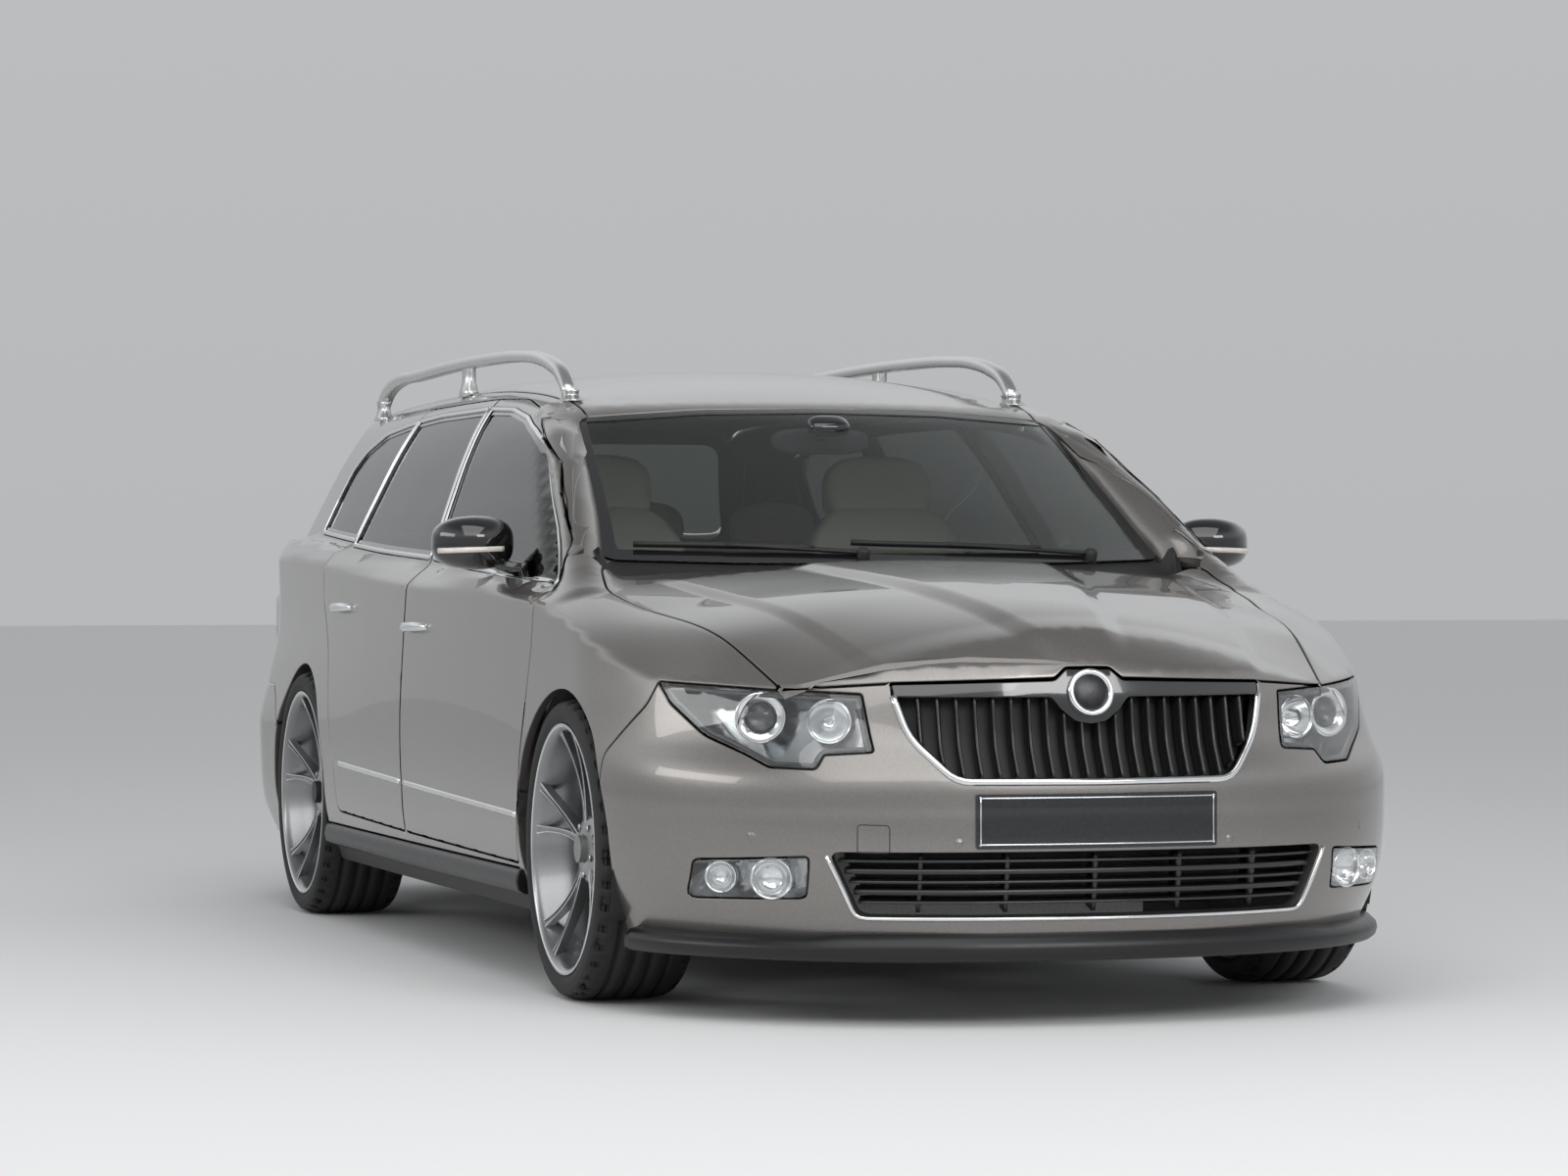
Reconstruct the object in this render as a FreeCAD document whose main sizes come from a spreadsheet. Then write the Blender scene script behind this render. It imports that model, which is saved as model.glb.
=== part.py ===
# A five-door station wagon, lowered on 20-inch wheels, as one assembly of separate pieces.
# Millimetres. X points forward, Y to the car's left, Z up; the origin is on the ground under the car's middle.
import FreeCAD, Part
import math
import os

os.makedirs("parts", exist_ok=True)
Vec = FreeCAD.Vector

# The driving dimensions, kept in a spreadsheet: alias, value, what it is.
DRIVING = (
    ("half_length", 2419, "half of the overall length"),
    ("half_width", 908, "half of the width over the door skins"),
    ("front_axle", 1479, "front axle ahead of the middle"),
    ("wheelbase", 2761, "distance between the axles"),
    ("half_track", 772.5, "wheel centre plane from the middle"),
    ("tyre_radius", 326, "tyre radius, also the hub height"),
    ("tyre_width", 235, "width of a tyre"),
    ("rim_radius", 259, "bead seat radius of a rim"),
    ("rim_flange", 271, "radius of the rim's bright edge"),
    ("hub_bore", 30, "radius of the hub's bore"),
    ("running_gap", 0.3, "clearance of a turning or seated piece"),
    ("steer_clearance", 360, "radius kept free around a steered wheel"),
    ("arch_radius", 337, "radius of the wheel arch opening"),
    ("lip_depth", 26, "depth of the wheel arch lip"),
    ("wall", 55, "thickness of doors, roof and body walls"),
    ("seam", 7, "gap around a moving panel"),
    ("skin_lip", 8, "thickness of a door's outer lip"),
    ("lip_width", 18, "how far the outer lip stands past the door's inner part"),
    ("glass_depth", 3, "how far the glass lies under the outer surface"),
    ("glass_thickness", 5, "thickness of the glass"),
    ("frame_width", 40, "width of a door's window frame"),
    ("pillar_depth", 50, "depth of the centre pillar behind the doors"),
    ("belt_height", 943, "height of the window line at the middle"),
    ("sill_bottom", 165, "underside of the body"),
    ("floor_thickness", 25, "thickness of the floor"),
    ("lip_bottom", 128, "underside of the front lip"),
    ("bumper_bottom", 190, "underside of the painted front bumper"),
    ("load_floor", 560, "height of the load floor"),
    ("bulkhead", 1150, "rear face of the bulkhead ahead of the middle"),
    ("bulkhead_thickness", 25, "thickness of the bulkhead"),
    ("slat_pitch", 37, "distance between two grille slats"),
    ("slat_width", 9, "width of a grille slat"),
    ("spoke_pairs", 5, "pairs of spokes in a rim"),
    ("seat_side", 370, "middle of a front seat from the car's middle"),
    ("seat_width", 480, "width of a front seat"),
    ("plate_width", 524, "width of the number plate"),
    ("plate_height", 112, "height of the number plate"),
)

doc = FreeCAD.newDocument("StationWagon")
sheet = doc.addObject("Spreadsheet::Sheet", "Sizes")
for row, (alias, value, meaning) in enumerate(DRIVING, start=1):
    sheet.set(f"A{row}", meaning)
    sheet.set(f"B{row}", str(value))
    sheet.setAlias(f"B{row}", alias)
doc.recompute()


def size(alias):
    """A driving dimension from the sheet."""
    return float(getattr(sheet, alias))


half_length = size("half_length")
half_width = size("half_width")
front_axle = size("front_axle")
rear_axle = front_axle - size("wheelbase")
hub_height = size("tyre_radius")
half_track = size("half_track")
wall = size("wall")
seam = size("seam")
running_gap = size("running_gap")
nodes = {}


def keep(node, shape):
    """Stores a free-form sub-part under its own name."""
    solids = shape.Solids
    if not solids:
        raise RuntimeError(f"{node} has no solid")
    feature = doc.addObject("Part::Feature", node)
    feature.Label = node
    feature.Shape = solids[0] if len(solids) == 1 else Part.makeCompound(solids)
    nodes[node] = feature
    return feature


def keep_object(node, thing):
    """Names a parametric object as a sub-part."""
    thing.Label = node
    nodes[node] = thing
    return thing


def mirrored(shape):
    """The same shape on the car's other side."""
    return shape.mirror(Vec(0, 0, 0), Vec(0, 1, 0))


def both_sides(shape):
    return Part.makeCompound([shape, mirrored(shape)])


def across(half):
    """A half shape that reaches the middle, completed to one across the car."""
    return half.fuse(mirrored(half)).removeSplitter()


def joined(shapes):
    """One fused shape."""
    first, *rest = shapes
    return first.multiFuse(rest) if rest else first


def box(low, high):
    return Part.makeBox(high[0] - low[0], high[1] - low[1], high[2] - low[2], Vec(*low))


def wheel_prism(radius, count, centre, depth):
    """A many-sided prism along Y, with corners straight up and down."""
    turns = [2 * math.pi * i / count for i in range(count + 1)]
    ring = [centre + Vec(radius * math.sin(t), 0, radius * math.cos(t)) for t in turns]
    return Part.Face(Part.makePolygon(ring)).extrude(Vec(0, depth, 0))


def flat_faces(a, b, c, d):
    """A quad as one flat face, or as two triangles that bulge outwards."""
    normal = (c - a).cross(d - b)
    if abs((b - a).dot(normal)) < 1e-6 * normal.Length:
        corners = [p for p, q in ((a, d), (b, a), (c, b), (d, c)) if (p - q).Length > 0.01]
        return [Part.Face(Part.makePolygon(corners + corners[:1]))]
    if (b - a).dot(normal) > 0:
        parts = ((a, b, d), (b, c, d))
    else:
        parts = ((a, b, c), (a, c, d))
    return [Part.Face(Part.makePolygon([*three, three[0]])) for three in parts]


def flat_loft(rings):
    """A solid of flat faces between rings of points that lie in parallel planes."""
    faces = []
    for low, high in zip(rings, rings[1:]):
        count = len(low)
        for i in range(count):
            j = (i + 1) % count
            faces += flat_faces(low[i], low[j], high[j], high[i])
    for ring in (rings[0], rings[-1]):
        faces.append(Part.Face(Part.makePolygon([*ring, ring[0]])))
    solid = Part.Solid(Part.Shell(faces))
    if solid.Volume < 0:
        solid.reverse()
    return solid


# Body levels, from the sill to above the shoulder. The columns are the height, then how far the nose lies
# behind the car's front, the nose radius, the front corner radius, how far the side lies inside the full
# width, the side's bow radius and its widest place, how far the tail lies inside the rear end, the tail
# radius and the rear corner radius.
BODY_LEVELS = (
    (165, 38, 1728, 720, 60, 90000, 100, 66, 2600, 420),
    (265, 12, 1728, 732, 20, 120000, 100, 20, 2600, 420),
    (420, 4, 1728, 732, 3, 120000, 100, 0, 2600, 420),
    (505, 9, 1728, 740, 0, 100000, 100, 2, 2600, 410),
    (580, 44, 1728, 775, 0, 60000, 200, 14, 2600, 400),
    (680, 61, 1728, 821, 4, 40000, 250, 30, 2600, 390),
    (1010, 190, 1728, 821, 24, 40000, 250, 106, 2600, 340),
)

# Cross sections of bonnet, wings and shoulders, front to rear. The columns are the place along the car,
# the height on the middle line, the bonnet seam's or window line's side and height, the shoulder's side
# and height, and the height where the section leaves the body.
SHOULDER_SECTIONS = (
    (2440, 640, 380, 575, 640, 430, 150),
    (2360, 722, 420, 640, 680, 520, 300),
    (2280, 776, 470, 682, 720, 560, 380),
    (2150, 820, 601, 690, 760, 610, 450),
    (1900, 873, 649, 788, 788, 705, 560),
    (1550, 916, 712, 845, 884, 795, 740),
    (1220, 942, 745, 898, 896, 848, 790),
    (950, 950, 838, 908, 895, 864, 790),
    (0, 965, 838, 935, 899, 882, 800),
    (-900, 1000, 832, 975, 890, 905, 820),
    (-1800, 1032, 790, 1010, 862, 928, 840),
    (-2460, 1030, 700, 1005, 790, 930, 820),
)
SECTION_REACH = 960

# Greenhouse levels: height, windscreen place, radius and pillar corner radius, half width, side radius and
# its widest place, rear screen place, radius and corner radius.
GREENHOUSE_LEVELS = (
    (840, 1364, 1950, 110, 882, 22000, -100, -2362, 2600, 240),
    (930, 1207, 1950, 130, 838, 22000, -100, -2335, 2600, 240),
    (1100, 925, 1950, 170, 761, 22000, -100, -2265, 2600, 240),
    (1250, 664, 1950, 190, 688, 22000, -100, -2165, 2600, 230),
    (1330, 520, 1950, 200, 640, 22000, -100, -2100, 2600, 220),
    (1450, 305, 1950, 200, 560, 22000, -100, -1990, 2600, 200),
)

# Roof sections: the place along the car, the height on the middle line, and how far the roof has dropped
# at the three sides of ROOF_SIDES.
ROOF_SECTIONS = (
    (1400, 1090, 10, 20, 45),
    (540, 1320, 18, 30, 62),
    (250, 1382, 26, 48, 110),
    (-150, 1428, 34, 66, 175),
    (-900, 1429, 34, 66, 175),
    (-1500, 1413, 34, 66, 175),
    (-2050, 1382, 34, 64, 165),
    (-2500, 1345, 34, 64, 160),
)
ROOF_SIDES = (510, 590, 700)


def on_circle(centre, through, radius):
    """The point of a circle that lies towards another point."""
    reach = math.hypot(through[0] - centre[0], through[1] - centre[1])
    return tuple(c + (p - c) * radius / reach for c, p in zip(centre, through))


def corner_centre(first, first_radius, second, second_radius, corner, ahead):
    """Centre of a corner arc that touches two larger arcs from inside."""
    a = first_radius - corner
    b = second_radius - corner
    dx = second[0] - first[0]
    dy = second[1] - first[1]
    span = math.hypot(dx, dy)
    along = (a * a - b * b + span * span) / (2 * span)
    aside = math.sqrt(max(a * a - along * along, 0))
    foot = (first[0] + along * dx / span, first[1] + along * dy / span)
    choices = (
        (foot[0] + aside * dy / span, foot[1] - aside * dx / span),
        (foot[0] - aside * dy / span, foot[1] + aside * dx / span),
    )
    return max(choices) if ahead else min(choices)


def plan_arcs(nose, nose_radius, front_corner, half, side_radius, side_place, tail, tail_radius, rear_corner):
    """The half outline of a level as five arcs: centre, start, end."""
    front = (nose - nose_radius, 0)
    side = (side_place, half - side_radius)
    rear = (tail + tail_radius, 0)
    ahead = corner_centre(front, nose_radius, side, side_radius, front_corner, True)
    behind = corner_centre(rear, tail_radius, side, side_radius, rear_corner, False)
    a = on_circle(front, ahead, nose_radius)
    b = on_circle(side, ahead, side_radius)
    c = on_circle(side, behind, side_radius)
    d = on_circle(rear, behind, tail_radius)
    return (
        (front, nose_radius, (nose, 0), a),
        (ahead, front_corner, a, b),
        (side, side_radius, b, c),
        (behind, rear_corner, c, d),
        (rear, tail_radius, d, (tail, 0)),
    )


def arc_point(centre, radius, start, end, share):
    """A point on the arc from start to end, at a share of its way."""
    middle = tuple(s + (e - s) * share for s, e in zip(start, end))
    return on_circle(centre, middle, radius)


# Straight runs that stand for the five arcs of a half outline: of the outer form, and of the walls' inner faces.
FINE_RUNS = (3, 4, 4, 4, 2)
COARSE_RUNS = (1, 4, 2, 3, 1)


def plan_ring(height, arcs, runs):
    """The corners of a closed level outline of straight runs."""
    half = [arcs[0][2]]
    for arc, count in zip(arcs, runs):
        half += [arc_point(*arc, step / count) for step in range(1, count + 1)]
    rest = [(x, -y) for x, y in reversed(half[1:-1])]
    return [Vec(x, y, height) for x, y in half + rest]


def arc_run(start, middle, end, runs):
    """Points along the arc through three points, in straight runs."""
    ax, ay = middle[0] - start[0], middle[1] - start[1]
    bx, by = end[0] - start[0], end[1] - start[1]
    cross = 2 * (ax * by - ay * bx)
    if abs(cross) < 1:
        return [tuple(s + (e - s) * i / runs for s, e in zip(start, end)) for i in range(runs + 1)]
    a2, b2 = ax * ax + ay * ay, bx * bx + by * by
    centre = (start[0] + (by * a2 - ay * b2) / cross, start[1] + (ax * b2 - bx * a2) / cross)
    radius = math.hypot(start[0] - centre[0], start[1] - centre[1])
    first = math.atan2(start[1] - centre[1], start[0] - centre[0])
    last = math.atan2(end[1] - centre[1], end[0] - centre[0])
    turn = (last - first + math.pi) % (2 * math.pi) - math.pi
    angles = [first + turn * i / runs for i in range(runs + 1)]
    return [(centre[0] + radius * math.cos(a), centre[1] + radius * math.sin(a)) for a in angles]


def section_ring(place, half):
    """A closed cross section from its left half's (side, height) points, which start on the middle line."""
    rest = [(-y, z) for y, z in reversed(half[1:])]
    return [Vec(place, y, z) for y, z in half + rest]


def level_arcs(level, inset):
    """A level's arcs, moved inwards."""
    nose, nose_radius, front_corner, half, side_radius, side_place, tail, tail_radius, rear_corner = level
    return plan_arcs(
        nose - inset,
        nose_radius - inset,
        front_corner - inset,
        half - inset,
        side_radius - inset,
        side_place,
        tail + inset,
        tail_radius - inset,
        rear_corner - inset,
    )


def body_level(row):
    """A body level's absolute places from its table row."""
    height, nose_in, nose_radius, front_corner, side_in, side_radius, side_place, tail_in, tail_radius, rear_corner = row
    return (
        half_length - nose_in,
        nose_radius,
        front_corner,
        half_width - side_in,
        side_radius,
        side_place,
        tail_in - half_length,
        tail_radius,
        rear_corner,
    )


def shoulder_ring(row, inset, coarse):
    """One closed cross section of bonnet and shoulders, flat below."""
    place, middle, seam_side, seam_height, edge_side, edge_height, end_height = row
    crown = (seam_side - inset * 0.2, seam_height - inset)
    top = (0, middle - inset)
    edge = (edge_side - inset * 0.45, edge_height - inset)
    end = (SECTION_REACH, end_height - inset)
    crown_runs = arc_run((-crown[0], crown[1]), top, crown, 2 if coarse else 6)
    half = crown_runs[len(crown_runs) // 2 :] + arc_run(crown, edge, end, 2 if coarse else 4)[1:]
    return section_ring(place, half + [(SECTION_REACH, 0)])


def roof_ring(row, inset, coarse):
    """One closed cross section of the roof, flat below."""
    place, middle, *drops = row
    sides = [s - inset * share for s, share in zip(ROOF_SIDES, (0.15, 0.5, 0.6))]
    top = middle - inset
    crown, cant, gutter = ((s, top - d) for s, d in zip(sides, drops))
    eave = (half_width + 100, gutter[1] - 120)
    crown_runs = arc_run((-crown[0], crown[1]), (0, top), crown, 2 if coarse else 4)
    half = crown_runs[len(crown_runs) // 2 :] + arc_run(crown, cant, gutter, 2 if coarse else 3)[1:]
    return section_ring(place, half + [eave, (eave[0], 700)])


def lower_body(inset, coarse=False):
    """The body up to the shoulders, moved inwards by the inset. Inner forms reach below the sill."""
    rings = []
    for row in BODY_LEVELS:
        height = row[0] - (80 if inset and row is BODY_LEVELS[0] else 0)
        arcs = level_arcs(body_level(row), inset)
        rings.append(plan_ring(height, arcs, COARSE_RUNS if coarse else FINE_RUNS))
    levels = flat_loft(rings)
    sections = flat_loft([shoulder_ring(row, inset, coarse) for row in SHOULDER_SECTIONS])
    return levels.common(sections)


def greenhouse(inset, coarse=False):
    """The upper body with its glass surfaces, moved inwards by the inset."""
    runs = COARSE_RUNS if coarse else FINE_RUNS
    levels = flat_loft([plan_ring(row[0], level_arcs(row[1:], inset), runs) for row in GREENHOUSE_LEVELS])
    sections = flat_loft([roof_ring(row, inset, coarse) for row in ROOF_SECTIONS])
    return levels.common(sections)


def hull(inset, coarse=False):
    return lower_body(inset, coarse).fuse(greenhouse(inset, coarse))


def outline(points, offset=0):
    """A closed face from (u, v, corner radius) points, in the plane v up, u right. Rounded corners are straight runs."""
    corners = []
    count = len(points)
    for i, (u, v, radius) in enumerate(points):
        here = Vec(u, v, 0)
        back = (Vec(*points[i - 1][:2], 0) - here).normalize()
        on = (Vec(*points[(i + 1) % count][:2], 0) - here).normalize()
        half_angle = back.getAngle(on) / 2
        if radius <= 0 or half_angle > math.pi / 2 - 0.01:
            corners.append(here)
            continue
        start = here + back * (radius / math.tan(half_angle))
        end = here + on * (radius / math.tan(half_angle))
        centre = here + (back + on).normalize() * (radius / math.sin(half_angle))
        middle = centre - (back + on).normalize() * radius
        turn = math.pi - 2 * half_angle
        runs = max(2, math.ceil(turn / max(0.5, 2 * math.acos(1 - 1.5 / max(radius, 6)))))
        corners += [Vec(x, y, 0) for x, y in arc_run(start[:2], middle[:2], end[:2], runs)]
    spaced = [c for i, c in enumerate(corners) if (c - corners[i - 1]).Length > 0.5]
    wire = Part.makePolygon(spaced + spaced[:1])
    if offset:
        wire = wire.makeOffset2D(offset, 2)
    return Part.Face(wire)


def along_x(points, start, end, offset=0):
    """A prism with its outline in Y and Z."""
    face = outline(points, offset)
    face.transformShape(FreeCAD.Matrix(0, 0, 1, start, 1, 0, 0, 0, 0, 1, 0, 0, 0, 0, 0, 1))
    return face.extrude(Vec(end - start, 0, 0))


def along_y(points, start, end, offset=0):
    """A prism with its outline in X and Z."""
    face = outline(points, offset)
    face.transformShape(FreeCAD.Matrix(1, 0, 0, 0, 0, 0, 1, start, 0, 1, 0, 0, 0, 0, 0, 1))
    return face.extrude(Vec(0, end - start, 0))


def along_z(points, start, end, offset=0):
    """A prism with its outline in X and Y."""
    face = outline(points, offset)
    face.translate(Vec(0, 0, start))
    return face.extrude(Vec(0, 0, end - start))


def symmetric(points):
    """A half outline on the car's left, completed with its mirror image."""
    return [*points, *[(-u, v, r) for u, v, r in reversed(points)]]


def symmetric_plan(points):
    """The same for a plan outline, whose second number is the side."""
    return [*points, *[(u, -v, r) for u, v, r in reversed(points)]]


def belt(place):
    """Height of the window line along the car."""
    return size("belt_height") - 0.043 * place


outer = hull(0)
cavity = hull(wall, True)
shell = outer.cut(cavity)
half_shell = shell.common(box((-2600, 0, 0), (2600, 1100, 1600)))
left_side = box((-2000, 400, 0), (1400, 1100, 1600))
left_shell = half_shell.common(left_side)
left_lip = hull(size("skin_lip")).common(left_side)

# Door outlines seen from the side: place, height, corner radius.
FRONT_DOOR = (
    (1102, 274, 18),
    (1192, 600, 500),
    (1212, 760, 300),
    (1212, 888, 12),
    (1075, 1000, 300),
    (745, 1182, 900),
    (400, 1302, 700),
    (60, 1349, 900),
    (-196, 1356, 6),
    (2, 948, 60),
    (5, 287, 22),
)
REAR_DOOR = (
    (5 - seam, 287, 22),
    (-4 - seam, 948, 60),
    (-199 - seam, 1356, 6),
    (-985, 1352, 10),
    (-1088, 990, 30),
    (-1080, 850, 60),
    (-945, 700, 250),
    (-812, 440, 250),
    (-775, 300, 35),
)
QUARTER_GLASS = (
    (-1122, 1012, 12),
    (-1036, 1322, 12),
    (-1400, 1298, 300),
    (-1590, 1254, 120),
    (-1668, 1205, 60),
    (-1705, 1120, 80),
    (-1716, 1036, 16),
)
SIDE_NEAR = 420
SIDE_FAR = 1100

glass_outer = greenhouse(size("glass_depth"))
glass_inner = greenhouse(size("glass_depth") + size("glass_thickness"))
glass_sheet = glass_outer.cut(glass_inner)


# Windscreen outline seen from the front: side, height, corner radius.
WINDSCREEN = symmetric(
    (
        (400, 944, 800),
        (668, 957, 40),
        (650, 1026, 300),
        (602, 1240, 400),
        (588, 1290, 40),
        (300, 1311, 900),
    )
)
# The roof panel lies between the two roof seams and ends at the tailgate.
roof_rear = -1985
ROOF_PLAN = symmetric_plan(((900, 560, 0), (380, 566, 300), (-300, 572, 900), (roof_rear, 545, 0)))


def inboard(margin):
    """What lies between the sides' panels: the roof, the windscreen with its pillars' outer faces, and the cowl."""
    roof = along_z(ROOF_PLAN, 1100, 1500, 7 + margin)
    screen = along_x(WINDSCREEN, 150, 1400, 34 + margin)
    cowl = box((1040, -792 - margin, 800), (1400, 792 + margin, 950))
    return joined([roof, screen, cowl])


door_limit = inboard(seam)
opening_limit = inboard(0)
door_openings = [along_y(o, SIDE_NEAR, SIDE_FAR, seam).cut(opening_limit) for o in (FRONT_DOOR, REAR_DOOR)]


def above_belt(margin):
    """The space above the window line."""
    low, high = -2600, 1500
    points = ((low, belt(low) + margin, 0), (high, belt(high) + margin, 0), (high, 1600, 0), (low, 1600, 0))
    return along_y(points, -SIDE_FAR, SIDE_FAR)


def door(node, glass_node, points):
    """A door with a thin outer lip, its window cut, and its glass, on both sides of the car."""
    slab = left_shell.common(along_y(points, SIDE_NEAR, SIDE_FAR))
    inner = along_y(points, SIDE_NEAR - 10, SIDE_FAR + 10, -size("lip_width"))
    slab = slab.cut(left_lip.cut(inner)).cut(door_limit)
    window = along_y(points, SIDE_NEAR - 20, SIDE_FAR, -size("frame_width")).common(above_belt(22))
    pane = along_y(points, SIDE_NEAR - 20, SIDE_FAR, -size("frame_width") - running_gap).common(above_belt(22 + running_gap))
    slab = slab.cut(window)
    glass = glass_sheet.common(pane).cut(door_limit)
    keep(f"{node}_left", slab)
    keep(f"{node}_right", mirrored(slab))
    keep(f"{glass_node}_left", glass)
    keep(f"{glass_node}_right", mirrored(glass))


door("front_door", "front_door_glass", FRONT_DOOR)
door("rear_door", "rear_door_glass", REAR_DOOR)

# Plan outline of the bonnet's left half: place, side, corner radius.
BONNET_PLAN = symmetric_plan(
    (
        (2600, 545, 0),
        (2150, 601, 600),
        (1850, 658, 900),
        (1450, 731, 400),
        (1320, 741, 120),
        (1205, 722, 100),
        (1130, 676, 30),
        (1236, 300, 900),
    )
)
# Upper edge of the nose panels, seen from the front: side, height, corner radius.
NOSE_TOP = (
    (720, 684, 0),
    (600, 687, 100),
    (400, 700, 100),
    (72, 710, 20),
    (46, 732, 16),
    (-46, 732, 16),
    (-72, 710, 20),
    (-400, 700, 100),
    (-600, 687, 100),
    (-720, 684, 0),
    (-720, 1200, 0),
    (720, 1200, 0),
)
bonnet_block = along_z(BONNET_PLAN, 560, 1100)
bonnet_opening = along_z(BONNET_PLAN, 550, 1110, seam)
nose_above = along_x(NOSE_TOP, 1000, 2600)
nose_above_open = along_x(NOSE_TOP, 1000, 2600, seam)
keep("bonnet", shell.common(bonnet_block).common(nose_above))
bonnet_gap = bonnet_opening.common(nose_above_open)

screen_opening = along_x(WINDSCREEN, 150, 1400)
keep("windscreen", glass_sheet.common(along_x(WINDSCREEN, 150, 1400, -running_gap)))

roof_block = along_z(ROOF_PLAN, 1230, 1500)
keep("roof_panel", shell.common(roof_block).cut(screen_opening))

# Tailgate outline seen from behind: side, height, corner radius.
TAILGATE = symmetric(((560, 612, 40), (568, 760, 60), (582, 960, 30), (660, 1010, 60), (600, 1260, 300), (548, 1500, 0)))
TAILGATE_GLASS = symmetric(((585, 1035, 40), (520, 1300, 60)))
behind_roof = box((-2700, -1000, 500), (roof_rear, 1000, 1600))
tailgate_block = along_x(TAILGATE, -2700, -1700).common(behind_roof)
tailgate_gap = along_x(TAILGATE, -2700, -1700, seam).common(box((-2700, -1000, 500), (roof_rear + seam, 1000, 1600)))
rear_window = along_x(TAILGATE_GLASS, -2600, roof_rear - 60)
keep("tailgate", shell.common(tailgate_block).cut(rear_window))
rear_glass = along_x(TAILGATE_GLASS, -2600, roof_rear - 60, -running_gap)
keep("tailgate_glass", glass_sheet.common(rear_glass))

# Lamp and opening outlines seen from the front, on the car's left.
HEADLAMP = (
    (448, 562, 8),
    (459, 678, 6),
    (610, 686, 60),
    (790, 699, 3),
    (778, 655, 40),
    (735, 592, 60),
    (676, 556, 40),
    (640, 530, 20),
    (560, 527, 15),
    (540, 556, 10),
)
FOG_LAMP = ((577, 349, 10), (578, 264, 12), (770, 257, 16), (766, 337, 12))
INTAKE = symmetric(((480, 226, 30), (540, 357, 12)))
GRILLE = symmetric(((300, 500, 70), (378, 590, 150), (402, 676, 10), (402, 698, 3), (74, 706, 20), (48, 729, 14)))
TAIL_LAMP = ((582, 955, 20), (574, 775, 25), (960, 745, 0), (960, 938, 0))
lamp_front = 1700
headlamp_block = along_x(HEADLAMP, lamp_front, 2600)
fog_block = along_x(FOG_LAMP, lamp_front, 2600)
intake_block = along_x(INTAKE, 2000, 2600)
grille_block = along_x(GRILLE, 2000, 2600)
tail_lamp_block = along_x(TAIL_LAMP, -2700, -2110)

# Front bumper: everything ahead of a seam that runs from the lamp's tip down to the wheel arch.
BUMPER_SIDE = ((2700, 0, 0), (2700, 730, 0), (1960, 730, 0), (1890, 650, 60), (1790, 545, 40), (1775, 300, 0), (1775, 0, 0))
over_lamp = box((1800, 630, 675), (2700, 1100, 760))
bumper_block = along_y(BUMPER_SIDE, 0, SIDE_FAR).cut(over_lamp)
rear_bumper_top = 604
REAR_BUMPER_SIDE = (
    (-2700, 0, 0),
    (-1560, 0, 0),
    (-1560, 480, 40),
    (-1700, rear_bumper_top, 60),
    (-2700, rear_bumper_top, 0),
)
rear_bumper_block = along_y(REAR_BUMPER_SIDE, -SIDE_FAR, SIDE_FAR)


def wheel_space(axle, opening):
    """What a wheel arch cuts away: the opening in the lip and the larger well behind it."""
    lip_inside = half_width - 3 - size("lip_depth")
    near = Vec(axle, 420, hub_height)
    well = wheel_prism(size("steer_clearance"), 32, near, lip_inside - near.y)
    return wheel_prism(opening, 32, near, 600).fuse(well)


front_wells = wheel_space(front_axle, size("arch_radius"))
rear_wells = wheel_space(rear_axle, size("arch_radius"))
below_bumper = box((0, -1000, 0), (2700, 1000, size("bumper_bottom")))

nose = half_shell.common(bumper_block)
for tool in (bonnet_gap, headlamp_block, fog_block, intake_block, grille_block, front_wells, below_bumper):
    nose = nose.cut(tool)
nose = max(nose.Solids, key=lambda s: s.Volume)
keep("front_bumper", across(nose))
tail = half_shell.common(rear_bumper_block)
keep("rear_bumper", across(tail.cut(rear_wells).cut(tailgate_gap)))

# Wings: from the bumper's seam to the front doors, up to the foot of the windscreen pillar.
wing_rear = 1212 + seam
WING_SIDE = (
    (2700, 0, 0),
    (wing_rear, 0, 0),
    (wing_rear, 893, 0),
    (1096, 975, 0),
    (1300, 1100, 0),
    (2700, 1100, 0),
)
wing_block = along_y(WING_SIDE, -SIDE_FAR, SIDE_FAR)
screen_side = box((0, -735, 890), (1250, 735, 1200))
wing = half_shell.common(wing_block)
for tool in (bumper_block, bonnet_gap, headlamp_block, front_wells, screen_side, door_openings[0]):
    wing = wing.cut(tool)
wing = max(wing.Solids, key=lambda s: s.Volume)
keep("front_fenders", both_sides(wing))

# The body sides keep the rest of the shell: sills, pillars, roof rails' cant, cowl and rear quarters.
quarter_opening = along_y(QUARTER_GLASS, SIDE_NEAR, SIDE_FAR)
side_half = half_shell
for tool in (
    *door_openings,
    bumper_block,
    rear_bumper_block,
    bonnet_gap,
    screen_opening,
    roof_block,
    tailgate_gap,
    quarter_opening,
    tail_lamp_block,
    headlamp_block,
    rear_wells,
    front_wells,
    wing,
):
    side_half = side_half.cut(tool)
side_solids = [s for s in side_half.Solids if s.Volume > 2e5]

# Centre pillars stand behind the door edges and join the cant rail and the sill.
PILLAR = ((-40, 175, 0), (-40, 948, 60), (-238, 1356, 0), (-250, 1480, 0), (-120, 1480, 0), (-110, 1356, 0), (50, 948, 60), (50, 175, 0))
pillar_space = along_y(PILLAR, 300, SIDE_FAR)
deep = hull(wall + seam, True).cut(hull(wall + seam + size("pillar_depth"), True))
joint_layer = hull(wall - 6, True).cut(hull(wall + seam + size("pillar_depth"), True))
post = deep.common(pillar_space)
for low, high in ((100, 276), (1366, 1500)):
    post = post.fuse(joint_layer.common(pillar_space).common(box((-400, 300, low), (400, 1000, high))))
post = post.cut(roof_block)
keep("body_sides", across(joined([*side_solids, *post.Solids])))

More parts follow.
